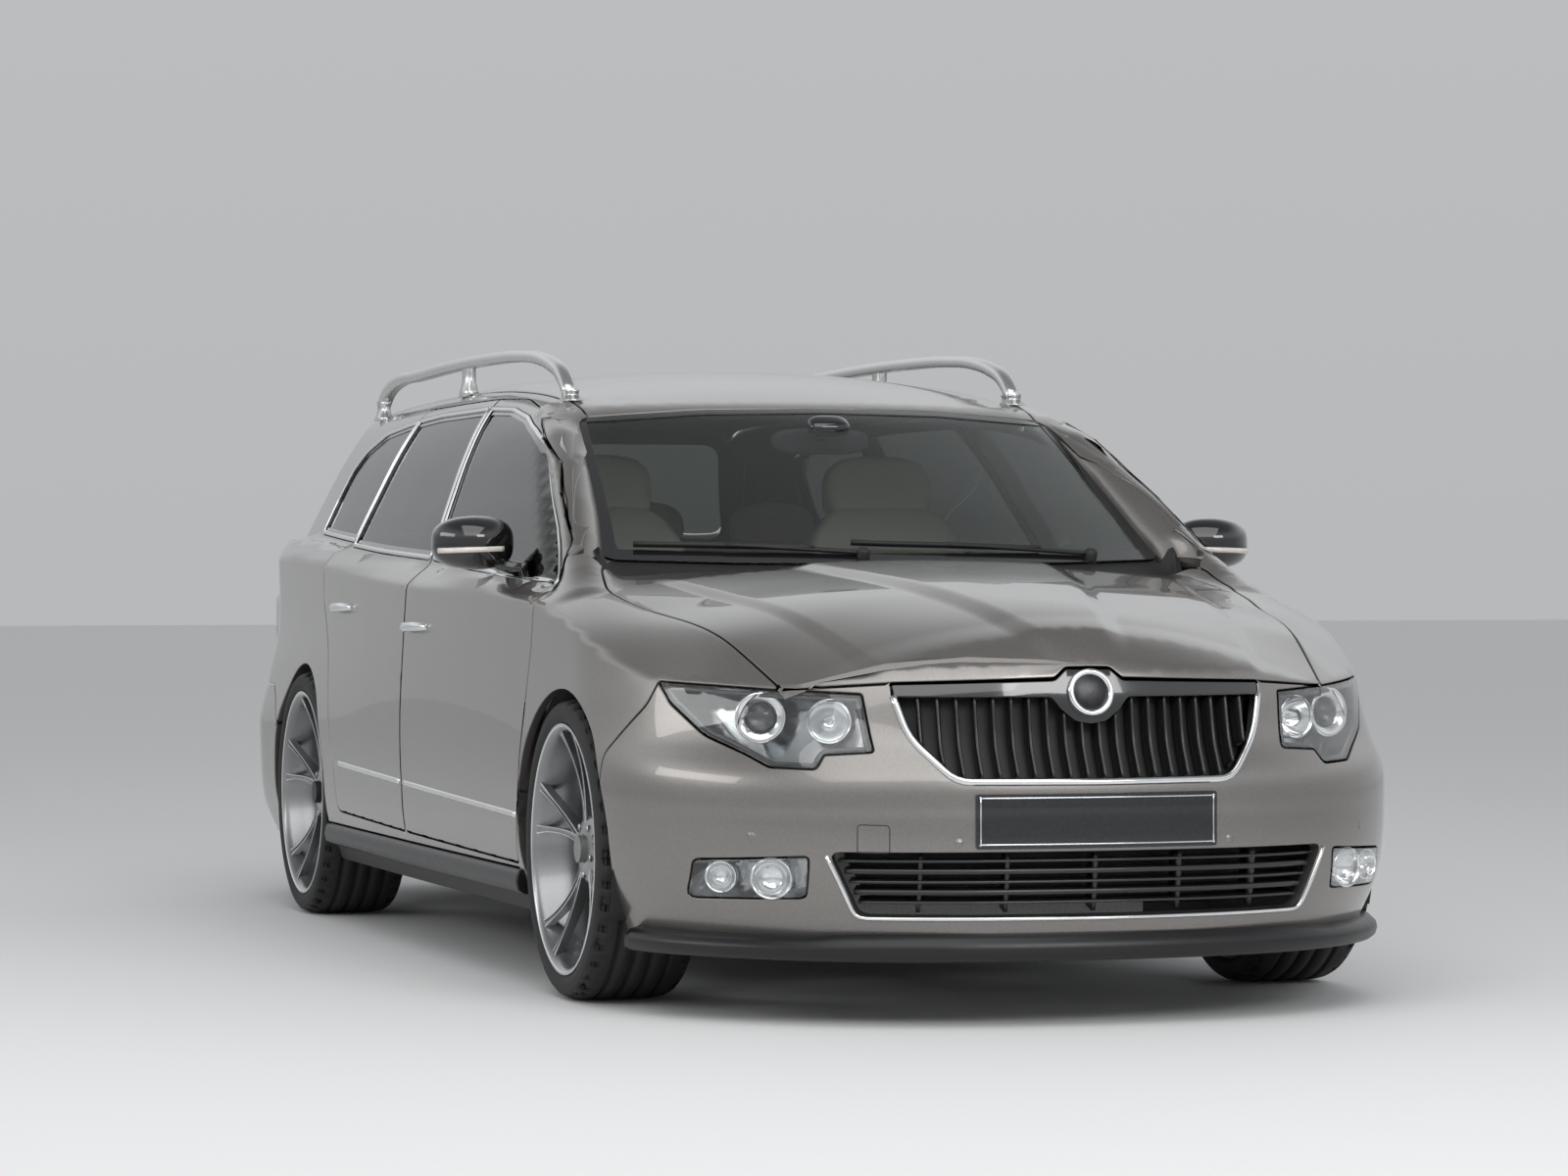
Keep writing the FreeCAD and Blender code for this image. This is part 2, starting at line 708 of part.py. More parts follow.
quarter = along_y(QUARTER_GLASS, SIDE_NEAR, SIDE_FAR, -running_gap)
keep("quarter_glass", both_sides(glass_sheet.common(quarter)))

# Lamps fill their openings, with the lens level with the body.
headlamp = half_shell.common(along_x(HEADLAMP, lamp_front, 2600, -running_gap)).cut(bonnet_gap)
keep("headlamps", both_sides(headlamp))
keep("fog_lamps", both_sides(half_shell.common(along_x(FOG_LAMP, lamp_front, 2600, -running_gap))))
tail_housing = along_x(TAIL_LAMP, -2700, -2110, -running_gap)
keep("tail_lamps", both_sides(half_shell.common(tail_housing).cut(tailgate_gap)))


def nose_layer(ahead, behind):
    """The layer between the nose surface moved forwards and moved backwards, between the lamps."""
    rings = []
    for row in (*BODY_LEVELS[:-1], (742, 85, 1728)):
        height, nose_in, nose_radius = row[:3]
        front = []
        for i in range(-4, 5):
            side = 145 * i
            drop = nose_radius - math.sqrt(nose_radius**2 - side**2)
            front.append(Vec(half_length - nose_in + ahead - drop, side, height))
        back = [p - Vec(ahead + behind, 0, 0) for p in reversed(front)]
        rings.append(front + back)
    return flat_loft(rings)


# Grille: a surround that stands 4 mm proud, a top bar, upright slats and a round badge carrier.
def grille():
    ring = nose_layer(4, 24).common(grille_opening(-running_gap).cut(grille_opening(-14)))
    slat_layer = nose_layer(-10, 34)
    inside = grille_opening(-12)
    strips = []
    count = int(2 * 390 / size("slat_pitch"))
    for i in range(count):
        side = (i - (count - 1) / 2) * size("slat_pitch")
        half = size("slat_width") / 2
        strips.append(box((2000, side - half, 480), (2600, side + half, 740)))
    bar = box((2000, -400, 672), (2600, 400, 740))
    badge = along_x([(62 * math.cos(math.pi * i / 8), 679 + 62 * math.sin(math.pi * i / 8), 0) for i in range(16)], 2100, 2600)
    slats = slat_layer.common(inside.common(joined([bar, badge, *strips])))
    return joined([*ring.Solids, *slats.Solids])


def grille_opening(offset):
    return along_x(GRILLE, 2000, 2600, offset)


keep("grille", grille())


# Lower grille: a frame, two slats and five ribs.
def lower_grille():
    layer = nose_layer(-12, 40)
    frame = along_x(INTAKE, 2000, 2600, -running_gap).cut(along_x(INTAKE, 2000, 2600, -12))
    inside = along_x(INTAKE, 2000, 2600, -6)
    strips = [box((2000, -560, z - 4), (2600, 560, z + 4)) for z in (280, 318)]
    strips += [box((2000, y - 4, 200), (2600, y + 4, 370)) for y in (-370, -190, 0, 190, 370)]
    return joined([*layer.common(frame).Solids, *layer.common(inside.common(joined(strips))).Solids])


keep("lower_grille", lower_grille())

# Front lip: a shelf under the bumper that follows its outline.
LIP_LEVELS = ((size("lip_bottom"), 30, 62), (150, 4, 50), (size("bumper_bottom") - running_gap, 18, 56))


def lip_form(inset):
    rings = []
    for i, (height, nose_in, side_in) in enumerate(LIP_LEVELS):
        shift = (-5, 0, 5)[i] if inset else 0
        level = (half_length - nose_in, 1728, 720, half_width - side_in, 90000, 100, -half_length, 2600, 420)
        rings.append(plan_ring(height + shift, level_arcs(level, inset), FINE_RUNS))
    return flat_loft(rings)


lip = lip_form(0).cut(lip_form(90)).common(box((1900, -1000, 100), (2600, 1000, 300)))
keep("front_lip", lip)

# Floor: a plate between the sills with a tunnel, a step and a raised load floor.
floor_low = size("sill_bottom")
thick = size("floor_thickness")
step = -560
seat_base = 350
boot_step = -1000
load_top = size("load_floor")
tunnel_half = 120
tunnel_top = 330
load_half = 585
floor_parts = [
    box((step, -1000, floor_low), (size("bulkhead"), 1000, floor_low + thick)),
    box((step - thick, -1000, floor_low), (step, 1000, seat_base)),
    box((rear_axle + 400, -1000, seat_base - thick), (step, 1000, seat_base)),
    box((boot_step, -load_half, seat_base - thick), (step, load_half, seat_base)),
    box((boot_step - thick, -load_half, seat_base - thick), (boot_step, load_half, load_top)),
    box((-2340, -load_half, load_top - thick), (boot_step, load_half, load_top)),
    box((-2340, -1000, load_top - thick), (rear_axle - 400, 1000, load_top)),
]
floor = joined(floor_parts)
tunnel = box((step, -tunnel_half, floor_low), (size("bulkhead"), tunnel_half, tunnel_top))
tunnel_space = box((step - 60, -tunnel_half + 12, 0), (size("bulkhead") + 50, tunnel_half - 12, tunnel_top - 12))
floor = floor.fuse(tunnel).cut(tunnel_space)
cabin_form = hull(wall, True)
both_rear_wells = both_sides(rear_wells)
both_front_wells = both_sides(front_wells)
posts = both_sides(post)
keep("floor_pan", floor.common(cabin_form).cut(both_rear_wells).cut(posts))

bulkhead_half = 815
bulkhead_box = box(
    (size("bulkhead"), -bulkhead_half, floor_low),
    (size("bulkhead") + size("bulkhead_thickness"), bulkhead_half, 930),
)
door_swing = box((1000, 700, 760), (1300, 1000, 1000))
bulkhead_form = bulkhead_box.common(cabin_form).cut(both_front_wells).cut(tunnel_space)
keep("bulkhead", bulkhead_form.cut(door_swing).cut(mirrored(door_swing)))


# Wheel liners: half rings over the wheels, from the arch lips to the inner walls.
def wheel_liners():
    rings = []
    for axle, inner_side in ((front_axle, 440), (rear_axle, 600)):
        hub = Vec(axle, inner_side, hub_height)
        radius = size("steer_clearance") - running_gap
        depth = 832 - inner_side
        ring = wheel_prism(radius, 32, hub, depth).cut(wheel_prism(radius - 6, 32, hub, depth))
        rings.append(ring.cut(box((axle - 500, 0, -200), (axle + 500, 1000, hub_height + 40))))
    return both_sides(Part.makeCompound(rings))


neighbours = ("bulkhead", "floor_pan", "front_fenders", "front_bumper", "rear_bumper", "body_sides", "bonnet")
liners = wheel_liners()
for node in neighbours:
    liners = liners.cut(nodes[node].Shape)
keep("wheel_liners", Part.makeCompound([s for s in liners.Solids if s.Volume > 1e5]))

# Front subframe: a cross beam with an arm to each steering pivot, and two legs up to the bulkhead.
pivot_low = 185
arm_thickness = 26
beam = [
    box((front_axle - 70, -430, floor_low - 20), (front_axle + 70, 430, floor_low + 20)),
    box((size("bulkhead"), -330, floor_low - 20), (front_axle - 70, -250, floor_low + 20)),
    box((size("bulkhead"), 250, floor_low - 20), (front_axle - 70, 330, floor_low + 20)),
]
for side in (1, -1):
    pivot = Vec(front_axle, side * half_track, pivot_low - arm_thickness)
    reach = half_track - 8
    arm = box((front_axle - 30, min(side * 400, side * reach), pivot.z), (front_axle + 30, max(side * 400, side * reach), pivot_low))
    beam.append(arm)
subframe = joined(beam)
keep("front_subframe", subframe.cut(nodes["bulkhead"].Shape))


def knuckle(side):
    """A knuckle that turns on its lower pivot, with the stub that carries the wheel."""
    pivot = Vec(front_axle, side * half_track, pivot_low + running_gap)
    out = Vec(0, side, 0)
    hub = Vec(front_axle, side * half_track, hub_height)
    post_shape = box((pivot.x - 15, pivot.y - 15, pivot.z), (pivot.x + 15, pivot.y + 15, hub_height + 60))
    carrier = wheel_prism(55, 16, Vec(hub.x, hub.y - (20 if side > 0 else 10), hub.z), 30)
    stub = Part.makeCylinder(size("hub_bore") - running_gap, 79, hub, out)
    return joined([post_shape, carrier, stub])


keep("knuckle_left", knuckle(1))
keep("knuckle_right", knuckle(-1))

# Rear axle: a cross beam with carriers and stubs, hung on two arms under the floor.
rear_parts = [Part.makeCylinder(38, 2 * 640, Vec(rear_axle, -640, hub_height), Vec(0, 1, 0))]
for side in (1, -1):
    out = Vec(0, side, 0)
    hub = Vec(rear_axle, side * half_track, hub_height)
    rear_parts.append(Part.makeCylinder(70, half_track - 620 + 10, Vec(rear_axle, side * 620, hub_height), out))
    rear_parts.append(Part.makeCylinder(size("hub_bore") - running_gap, 79, hub, out))
    low = min(side * 470, side * 520)
    rear_parts.append(box((rear_axle, low, hub_height - 90), (step - thick - running_gap, low + 50, hub_height - 25)))
keep("rear_axle", joined(rear_parts))


WHEEL_SIDES = 32


def tyre():
    """The left wheel's tyre: a low profile section in straight runs around the hub."""
    half = size("tyre_width") / 2
    crown = size("tyre_radius")
    flange = size("rim_flange") + running_gap
    bead = half - 13.8
    profile = (
        (-half + 14, crown),
        (half - 14, crown),
        (half, crown - 24),
        (bead, flange),
        (bead, size("rim_radius") + running_gap),
    )
    profile = [*profile, *[(-u, r) for u, r in reversed(profile[2:])]]
    turns = [2 * math.pi * i / WHEEL_SIDES for i in range(WHEEL_SIDES + 1)]
    rings = [[Vec(r * math.sin(t), u, r * math.cos(t)) for t in turns] for u, r in profile]
    faces = []
    for first, second in zip(rings, rings[1:] + rings[:1]):
        for i in range(WHEEL_SIDES):
            faces += flat_faces(first[i], first[i + 1], second[i + 1], second[i])
    solid = Part.Solid(Part.Shell(faces))
    if solid.Volume < 0:
        solid.reverse()
    return solid


def rim_spoke():
    """One slim concave spoke from the hub to the barrel, of flat faces."""
    outside = size("tyre_width") / 2 - 4
    rings = []
    for radius, half, face, depth in (
        (40, 16, outside - 34, 34),
        (150, 12, outside - 22, 30),
        (size("rim_radius") - 8, 14, outside - 5, 26),
    ):
        back = face - depth
        rings.append(
            [Vec(-half, face, radius), Vec(-half * 0.55, back, radius), Vec(half * 0.55, back, radius), Vec(half, face, radius)]
        )
    return flat_loft(rings)


def rim():
    """The left wheel's rim: turned barrel, hub with bore, brake disc, and spokes in pairs."""
    half = size("tyre_width") / 2 - 3.5
    seat = size("rim_radius")
    flange = size("rim_flange")
    middle = Vec(0, -half, 0)
    barrel = wheel_prism(seat, WHEEL_SIDES, middle, 2 * half)
    barrel = barrel.fuse(wheel_prism(flange, WHEEL_SIDES, middle, 10))
    barrel = barrel.fuse(wheel_prism(flange, WHEEL_SIDES, Vec(0, half - 10, 0), 10))
    turned = barrel.cut(wheel_prism(seat - 12, WHEEL_SIDES, middle, 2 * half))
    hub = wheel_prism(70, 16, Vec(0, half - 86, 0), 52)
    disc = wheel_prism(165, 20, Vec(0, 22, 0), 20)
    pieces = [turned, hub, disc]
    spoke = rim_spoke()
    pairs = int(size("spoke_pairs"))
    for i in range(pairs):
        for lean in (-10.5, 10.5):
            copy = spoke.copy()
            copy.rotate(Vec(0, 0, 0), Vec(0, 1, 0), i * 360 / pairs + lean)
            pieces.append(copy)
    whole = joined(pieces)
    whole = whole.cut(Part.makeCylinder(size("hub_bore"), 96, Vec(0, half - 130, 0), Vec(0, 1, 0)))
    return whole


rim_forms = {1: rim()}
rim_forms[-1] = mirrored(rim_forms[1])
tyre_forms = {1: tyre(), -1: tyre()}
for end, axle in (("front", front_axle), ("rear", rear_axle)):
    for side_name, side in (("left", 1), ("right", -1)):
        for node, forms in ((f"tyre_{end}_{side_name}", tyre_forms), (f"rim_{end}_{side_name}", rim_forms)):
            feature = keep(node, forms[side])
            feature.Placement.Base = Vec(axle, side * half_track, hub_height)

# Engine block: one plain block in the engine bay.
engine = doc.addObject("Part::Box", "engine_block")
engine.setExpression("Length", "420")
engine.Width = 700
engine.Height = 470
engine.setExpression("Placement.Base.x", "Sizes.front_axle - 60")
engine.setExpression("Placement.Base.y", "-380")
engine.setExpression("Placement.Base.z", "Sizes.sill_bottom + 20")
keep_object("engine_block", engine)

# Mirrors: a rounded housing on a foot, on each front door.

def mirror_unit():
    rings = []
    for side, rear, front, low, high in (
        (832, 722, 800, 946, 1030),
        (850, 714, 838, 937, 1046),
        (930, 712, 848, 934, 1050),
        (985, 714, 838, 940, 1044),
        (1008, 724, 806, 948, 1032),
    ):
        points = (
            (rear, low + 8),
            (rear, high - 12),
            (rear + 14, high),
            (front - 40, high),
            (front - 12, high - 16),
            (front, high - 42),
            (front, low + 26),
            (front - 26, low + 4),
            (rear + 10, low),
        )
        rings.append([Vec(x, side, z) for x, z in points])
    housing = flat_loft(rings)
    foot = box((800, 770, 928), (850, 850, 962))
    whole = housing.fuse(foot)
    return whole.cut(nodes["front_door_left"].Shape).cut(nodes["front_door_glass_left"].Shape)


mirror_shape = mirror_unit()
mirror_solids = [s for s in mirror_shape.Solids if s.CenterOfMass.y > 860]
keep("mirror_left", mirror_solids[0])
keep("mirror_right", mirrored(mirror_solids[0]))

# Roof rails: a bow on three feet on each side of the roof.
RAIL_PATH = (
    (330, 1356),
    (285, 1392),
    (200, 1428),
    (60, 1455),
    (-120, 1469),
    (-500, 1476),
    (-1300, 1462),
    (-1560, 1445),
    (-1660, 1425),
    (-1720, 1396),
)


def roof_rail():
    points = [(x, z, 0) for x, z in RAIL_PATH] + [(x, z - 24, 0) for x, z in reversed(RAIL_PATH)]
    bow = along_y(points, 548, 580)
    feet = [along_y(((x - 40, 1330, 0), (x + 40, 1330, 0), (x + 22, 1455, 0), (x - 22, 1455, 0)), 548, 580) for x in (-560,)]
    roof = flat_loft([roof_ring(row, -running_gap, False) for row in ROOF_SECTIONS])
    return max(joined([bow, *feet]).cut(roof).Solids, key=lambda s: s.Volume)


keep("roof_rails", both_sides(roof_rail()))

# Interior: seats, rear bench, dashboard and steering wheel.
floor_top = floor_low + thick
SEAT = (
    (-20, floor_top, 0),
    (460, floor_top, 0),
    (470, floor_top + 210, 20),
    (500, floor_top + 330, 40),
    (60, floor_top + 290, 50),
    (-110, floor_top + 830, 40),
    (-130, floor_top + 1010, 50),
    (-235, floor_top + 1000, 50),
    (-200, floor_top + 810, 30),
    (-60, floor_top + 270, 40),
)
seat_half = size("seat_width") / 2
seat = along_y(SEAT, size("seat_side") - seat_half, size("seat_side") + seat_half)
upper = floor_top + 815
for low, high in ((0, size("seat_side") - 135), (size("seat_side") + 135, 900)):
    seat = seat.cut(box((-400, low, upper), (0, high, upper + 400)))
keep("front_seats", both_sides(seat))

BENCH = (
    (step + 10, seat_base + 60, 20),
    (step + 90, seat_base + 80, 20),
    (step + 100, seat_base + 180, 40),
    (step - 300, seat_base + 150, 60),
    (step - 400, seat_base + 640, 40),
    (step - 510, seat_base + 640, 40),
    (boot_step + running_gap, load_top + 20, 0),
    (boot_step + running_gap, seat_base + running_gap, 0),
    (step + 10, seat_base + running_gap, 0),
)
keep("rear_bench", along_y(BENCH, -580, 580))

DASH = ((size("bulkhead") - running_gap, 640, 0), (size("bulkhead") - running_gap, 905, 0), (940, 915, 40), (760, 870, 50), (740, 700, 40), (860, 620, 30))
dash_form = along_y(DASH, -735, 735)
keep("dashboard", dash_form.common(hull(wall + 20, True)).cut(nodes["bulkhead"].Shape))


def steering_wheel():
    ring = lambda radius, low, deep: Part.Face(
        Part.makePolygon([Vec(radius * math.cos(math.pi * i / 14), radius * math.sin(math.pi * i / 14), low) for i in range(29)])
    ).extrude(Vec(0, 0, deep))
    wheel = ring(193, -12, 24).cut(ring(167, -12, 24))
    boss = ring(60, -30, 40)
    bars = [box((-170, -18, -16), (170, 18, -4)), box((-18, -170, -16), (18, 0, -4))]
    column = box((-26, -26, -200), (26, 26, -20))
    whole = joined([wheel, boss, *bars, column])
    whole.rotate(Vec(0, 0, 0), Vec(0, 1, 0), -65)
    whole.rotate(Vec(0, 0, 0), Vec(0, 0, 1), 0)
    whole.translate(Vec(640, size("seat_side"), 800))
    return whole.cut(nodes["dashboard"].Shape)


keep("steering_wheel", max(steering_wheel().Solids, key=lambda s: s.Volume))

# Exhaust: a silencer across the tail with two pipes under the bumper.
silencer = Part.makeCylinder(80, 700, Vec(-2050, -350, 250), Vec(0, 1, 0))
pipes = [silencer]
for side in (1, -1):
    pipes.append(Part.makeCylinder(32, 250, Vec(-2050, side * 300, 215), Vec(-1, 0, 0)))
    pipes.append(box((-2060, side * 300 - 15, 250), (-2030, side * 300 + 15, load_top - thick - running_gap)))
exhaust = joined(pipes)
keep("exhaust", exhaust.cut(nodes["rear_bumper"].Shape))

# Number plate: a blank board on the front bumper.
plate_half = size("plate_width") / 2
plate_middle = 422
plate_tall = size("plate_height") / 2
plate = box((2300, -plate_half, plate_middle - plate_tall), (2600, plate_half, plate_middle + plate_tall))
keep("number_plate", nose_layer(8, -running_gap).common(plate).cut(nodes["front_bumper"].Shape))

doc.recompute()
for thing in doc.Objects:
    if "Invalid" in thing.State or "Error" in thing.State:
        raise RuntimeError(f"{thing.Label} failed: {thing.State}")
for node, thing in nodes.items():
    shape = thing.Shape
    if shape.isNull() or not shape.isValid():
        raise RuntimeError(f"{node} has no valid shape")
for node, thing in nodes.items():
    thing.Shape.exportStep(f"parts/{node}.step")
    bounds = thing.Shape.BoundBox
    print(
        f"{node:24s} solids {len(thing.Shape.Solids):2d} faces {len(thing.Shape.Faces):4d}"
        f" x {bounds.XMin:7.1f} {bounds.XMax:7.1f} y {bounds.YMin:7.1f} {bounds.YMax:7.1f}"
        f" z {bounds.ZMin:7.1f} {bounds.ZMax:7.1f}"
    )
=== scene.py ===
import math

import bmesh
import bpy
import numpy as np
from mathutils import Matrix, Vector
from mathutils.geometry import delaunay_2d_cdt


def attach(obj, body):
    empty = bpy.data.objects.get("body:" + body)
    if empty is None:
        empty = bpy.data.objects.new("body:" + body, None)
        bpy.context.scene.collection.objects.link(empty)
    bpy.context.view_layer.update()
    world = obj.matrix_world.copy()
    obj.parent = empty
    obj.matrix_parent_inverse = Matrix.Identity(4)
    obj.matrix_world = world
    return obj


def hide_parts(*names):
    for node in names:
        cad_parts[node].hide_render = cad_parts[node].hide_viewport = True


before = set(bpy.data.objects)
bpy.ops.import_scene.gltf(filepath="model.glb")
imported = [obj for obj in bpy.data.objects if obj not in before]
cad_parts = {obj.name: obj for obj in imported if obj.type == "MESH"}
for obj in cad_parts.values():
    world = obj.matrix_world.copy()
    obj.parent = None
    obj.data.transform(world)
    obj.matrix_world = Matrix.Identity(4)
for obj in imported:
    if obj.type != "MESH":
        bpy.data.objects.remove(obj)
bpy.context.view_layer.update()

# ---- Body skin ----
# The pressed steel body: every outer panel is cut from one smooth surface, so the panels meet flush.
# Its plan outlines change with height and its cross sections with place; sizes here are millimetres.
HALF_LENGTH, HALF_WIDTH = 2419, 908
# Columns: height, nose set in, nose radius, front corner, side set in, side radius, side's middle,
# tail set in, tail radius, rear corner.
PLAN_OUTLINES = np.array((
    (165, 38, 1728, 720, 60, 90000, 100, 24, 2600, 640),
    (265, 12, 1728, 732, 20, 120000, 100, 4, 2600, 640),
    (420, 4, 1728, 732, 3, 120000, 100, 0, 2600, 640),
    (505, 9, 1728, 740, 0, 100000, 100, 2, 2600, 630),
    (580, 44, 1728, 775, 0, 60000, 200, 14, 2600, 610),
    (680, 61, 1728, 821, 4, 40000, 250, 30, 2600, 590),
    (1010, 190, 1728, 821, 24, 40000, 250, 106, 2600, 470),
), float)
# Columns: place along the car, middle height, seam side and height, edge side and height, outer height.
SHOULDERS = np.array((
    (-2460, 1030, 700, 1005, 790, 930, 820),
    (-1800, 1032, 790, 1010, 862, 928, 840),
    (-900, 1000, 832, 975, 890, 905, 820),
    (0, 965, 838, 935, 899, 882, 800),
    (950, 950, 838, 908, 895, 864, 790),
    (1220, 942, 745, 898, 896, 848, 790),
    (1550, 916, 712, 845, 884, 795, 740),
    (1900, 873, 649, 788, 788, 705, 560),
    (2150, 820, 601, 690, 760, 610, 450),
    (2280, 776, 470, 682, 720, 560, 380),
    (2360, 722, 420, 640, 680, 520, 300),
    (2440, 640, 380, 575, 640, 430, 150),
), float)
# Columns: height, windscreen place, windscreen corner, half width, tail place, tail corner.
CABIN_OUTLINES = np.array((
    (840, 1364, 110, 882, -2362, 240),
    (930, 1207, 130, 838, -2335, 240),
    (1100, 925, 170, 761, -2265, 240),
    (1250, 664, 190, 688, -2165, 230),
    (1330, 520, 200, 640, -2100, 220),
    (1450, 305, 200, 560, -1990, 200),
), float)
# Columns: place along the car, middle height, drop at 510, at 590 and at 700 from the middle.
ROOF_LINES = np.array((
    (-2500, 1345, 34, 64, 160),
    (-2050, 1382, 34, 64, 165),
    (-1500, 1413, 34, 66, 175),
    (-900, 1429, 34, 66, 175),
    (-150, 1428, 34, 66, 175),
    (250, 1382, 26, 48, 110),
    (540, 1320, 18, 30, 62),
    (1400, 1090, 10, 20, 45),
), float)

# The windscreen posts run down and forward into the wings along this line: place, side, height, thickness.
POST_LINE = np.array((
    (1290, 778, 852, 38),
    (1190, 756, 900, 42),
    (1080, 732, 952, 42),
    (978, 709, 1022, 38),
    (861, 690, 1092, 31),
    (716, 664, 1170, 25),
    (574, 643, 1238, 19),
    (440, 616, 1289, 12),
    (330, 596, 1322, 5),
), float)


def column(table, place, number):
    """One column of a table on a smooth curve through its rows."""
    at, value = table[:, 0], table[:, number]
    slope = np.gradient(value, at)
    place = np.clip(place, at[0], at[-1])
    k = np.clip(np.searchsorted(at, place) - 1, 0, len(at) - 2)
    span = at[k + 1] - at[k]
    t = (place - at[k]) / span
    start = (1 + 2 * t) * (1 - t) ** 2 * value[k] + t * (1 - t) ** 2 * span * slope[k]
    return start + t * t * (3 - 2 * t) * value[k + 1] + t * t * (t - 1) * span * slope[k + 1]


def outside_plan(x, y, nose, nose_r, front_r, side_x, half, side_r, tail, tail_r, rear_r):
    """How far a point lies outside a plan outline of a nose, side and tail curve with rounded corners."""
    nose_x, side_y, tail_x = nose - nose_r, half - side_r, tail + tail_r
    gap = np.maximum(
        np.hypot(np.maximum(x - nose_x, 0), y) - nose_r, np.hypot(x - side_x, y - side_y) - side_r
    )
    gap = np.maximum(gap, np.hypot(np.minimum(x - tail_x, 0), y) - tail_r)
    for end_x, end_r, corner_r, ahead in ((nose_x, nose_r, front_r, 1), (tail_x, tail_r, rear_r, -1)):
        reach_end, reach_side = end_r - corner_r, side_r - corner_r
        dx, dy = side_x - end_x, side_y
        apart = np.hypot(dx, dy)
        along = (reach_end**2 - reach_side**2 + apart**2) / (2 * apart)
        off = np.sqrt(np.maximum(reach_end**2 - along**2, 0))
        cx = end_x + (along * dx - ahead * off * dy) / apart
        cy = (along * dy + ahead * off * dx) / apart
        u, v = (cx - end_x) / reach_end, cy / reach_end
        s, t = (cx - side_x) / reach_side, (cy - side_y) / reach_side
        px, py = x - cx, y - cy
        turn = u * t - v * s
        in_corner = ((px * t - py * s) / turn >= 0) & ((u * py - v * px) / turn >= 0)
        gap = np.where(in_corner, np.hypot(px, py) - corner_r, gap)
    return gap


def above_arc(y, z, first, second, third):
    """How far a point lies above the arc through three points of a section, and above its end tangents."""
    (a, b), (c, d), (e, f) = first, second, third
    turn = 2 * (a * (d - f) + c * (f - b) + e * (b - d))
    turn = np.where(np.abs(turn) < 1e-3, -1e-3, turn)
    p, q, r = a * a + b * b, c * c + d * d, e * e + f * f
    cy = (p * (d - f) + q * (f - b) + r * (b - d)) / turn
    cz = (p * (e - c) + q * (a - e) + r * (c - a)) / turn
    bend = np.where(cz < b, 1.0, -1.0)
    radius = np.hypot(a - cy, b - cz)
    gap = bend * (np.hypot(y - cy, z - cz) - radius)
    start = bend * ((y - a) * (a - cy) + (z - b) * (b - cz)) / radius
    end = bend * ((y - e) * (e - cy) + (z - f) * (f - cz)) / radius
    past_end = bend * ((e - cy) * (z - cz) - (f - cz) * (y - cy)) < 0
    before = bend * ((a - cy) * (z - cz) - (b - cz) * (y - cy)) > 0
    return np.where(past_end, end, np.where(before, start, gap))


def larger(a, b, blend):
    """The larger of two gaps, rounded where they meet."""
    h = np.clip(0.5 + 0.5 * (a - b) / blend, 0, 1)
    return b + (a - b) * h + blend * h * (1 - h)


def body_gap(p):
    """How far points lie outside the body's surface."""
    x, y, z = p[:, 0], np.abs(p[:, 1]), p[:, 2]
    low = [column(PLAN_OUTLINES, z, k) for k in range(1, 10)]
    sides = outside_plan(x, y, HALF_LENGTH - low[0], low[1], low[2], low[5],
                         HALF_WIDTH - low[3], low[4], low[6] - HALF_LENGTH, low[7], low[8])
    mid, seam_y, seam_z, edge_y, edge_z, end_z = [column(SHOULDERS, x, k) for k in range(1, 7)]
    crown = above_arc(y, z, (-seam_y, seam_z), (0 * x, mid), (seam_y, seam_z))
    run = np.clip((2375 - x) / 1125, 0, 1)
    fade = np.clip((x - 1235) / 110, 0, 1) * np.clip((2335 - x) / 90, 0, 1) * np.clip((z - 560) / 80, 0, 1)
    for foot, head, rise, ramp in ((66, 318, 11.0, 46), (396, 618, 8.0, 44)):
        step = np.clip((foot + (head - foot) * run - y) / ramp + 0.5, 0, 1)
        crown = crown - fade * rise * (step * step * (3 - 2 * step) if foot > 100 else step)
    shoulder = above_arc(y, z, (seam_y, seam_z), (edge_y, edge_z), (960 + 0 * x, end_z))
    top = np.where(y < seam_y, crown, shoulder)
    lower = larger(sides, top, 7.0)
    cabin = cabin_gap(p)
    post = np.full(len(x), 1e6)
    spot = np.stack((x, y, z), 1)
    for low_end, high_end in zip(POST_LINE[:-1], POST_LINE[1:]):
        run = high_end[:3] - low_end[:3]
        share = np.clip((spot - low_end[:3]) @ run / run.dot(run), 0, 1)
        off = spot - low_end[:3] - share[:, None] * run
        thick = low_end[3] + (high_end[3] - low_end[3]) * share
        wide = 50.0 + 14.0 * np.clip(thick - 38, 0, 20) / 20
        across = off[:, 1]
        rest = np.sqrt(np.maximum((off**2).sum(1) - across**2, 0))
        post = np.minimum(post, (np.hypot(across / wide, rest / thick) - 1) * np.minimum(thick, wide))
    lower = -larger(-lower, -post, 40.0)
    cabin = -larger(-cabin, -post, 34.0)
    return -larger(-lower, -cabin, 6.0)


def cabin_gap(p):
    """How far points lie outside the upper body alone: windows, roof and their pillars."""
    x, y, z = p[:, 0], np.abs(p[:, 1]), p[:, 2]
    screen, screen_r, half, tail, tail_r = [column(CABIN_OUTLINES, z, k) for k in range(1, 6)]
    walls = outside_plan(x, y, screen, 1950, screen_r, -100, half, 22000, tail, 2600, tail_r)
    mid, a, b, c = [column(ROOF_LINES, x, k) for k in range(1, 5)]
    crown = above_arc(y, z, (-510, mid - a), (0 * x, mid), (510, mid - a))
    cant = above_arc(y, z, (510, mid - a), (590, mid - b), (700, mid - c))
    return larger(walls, np.where(y < 510, crown, cant), 26.0)


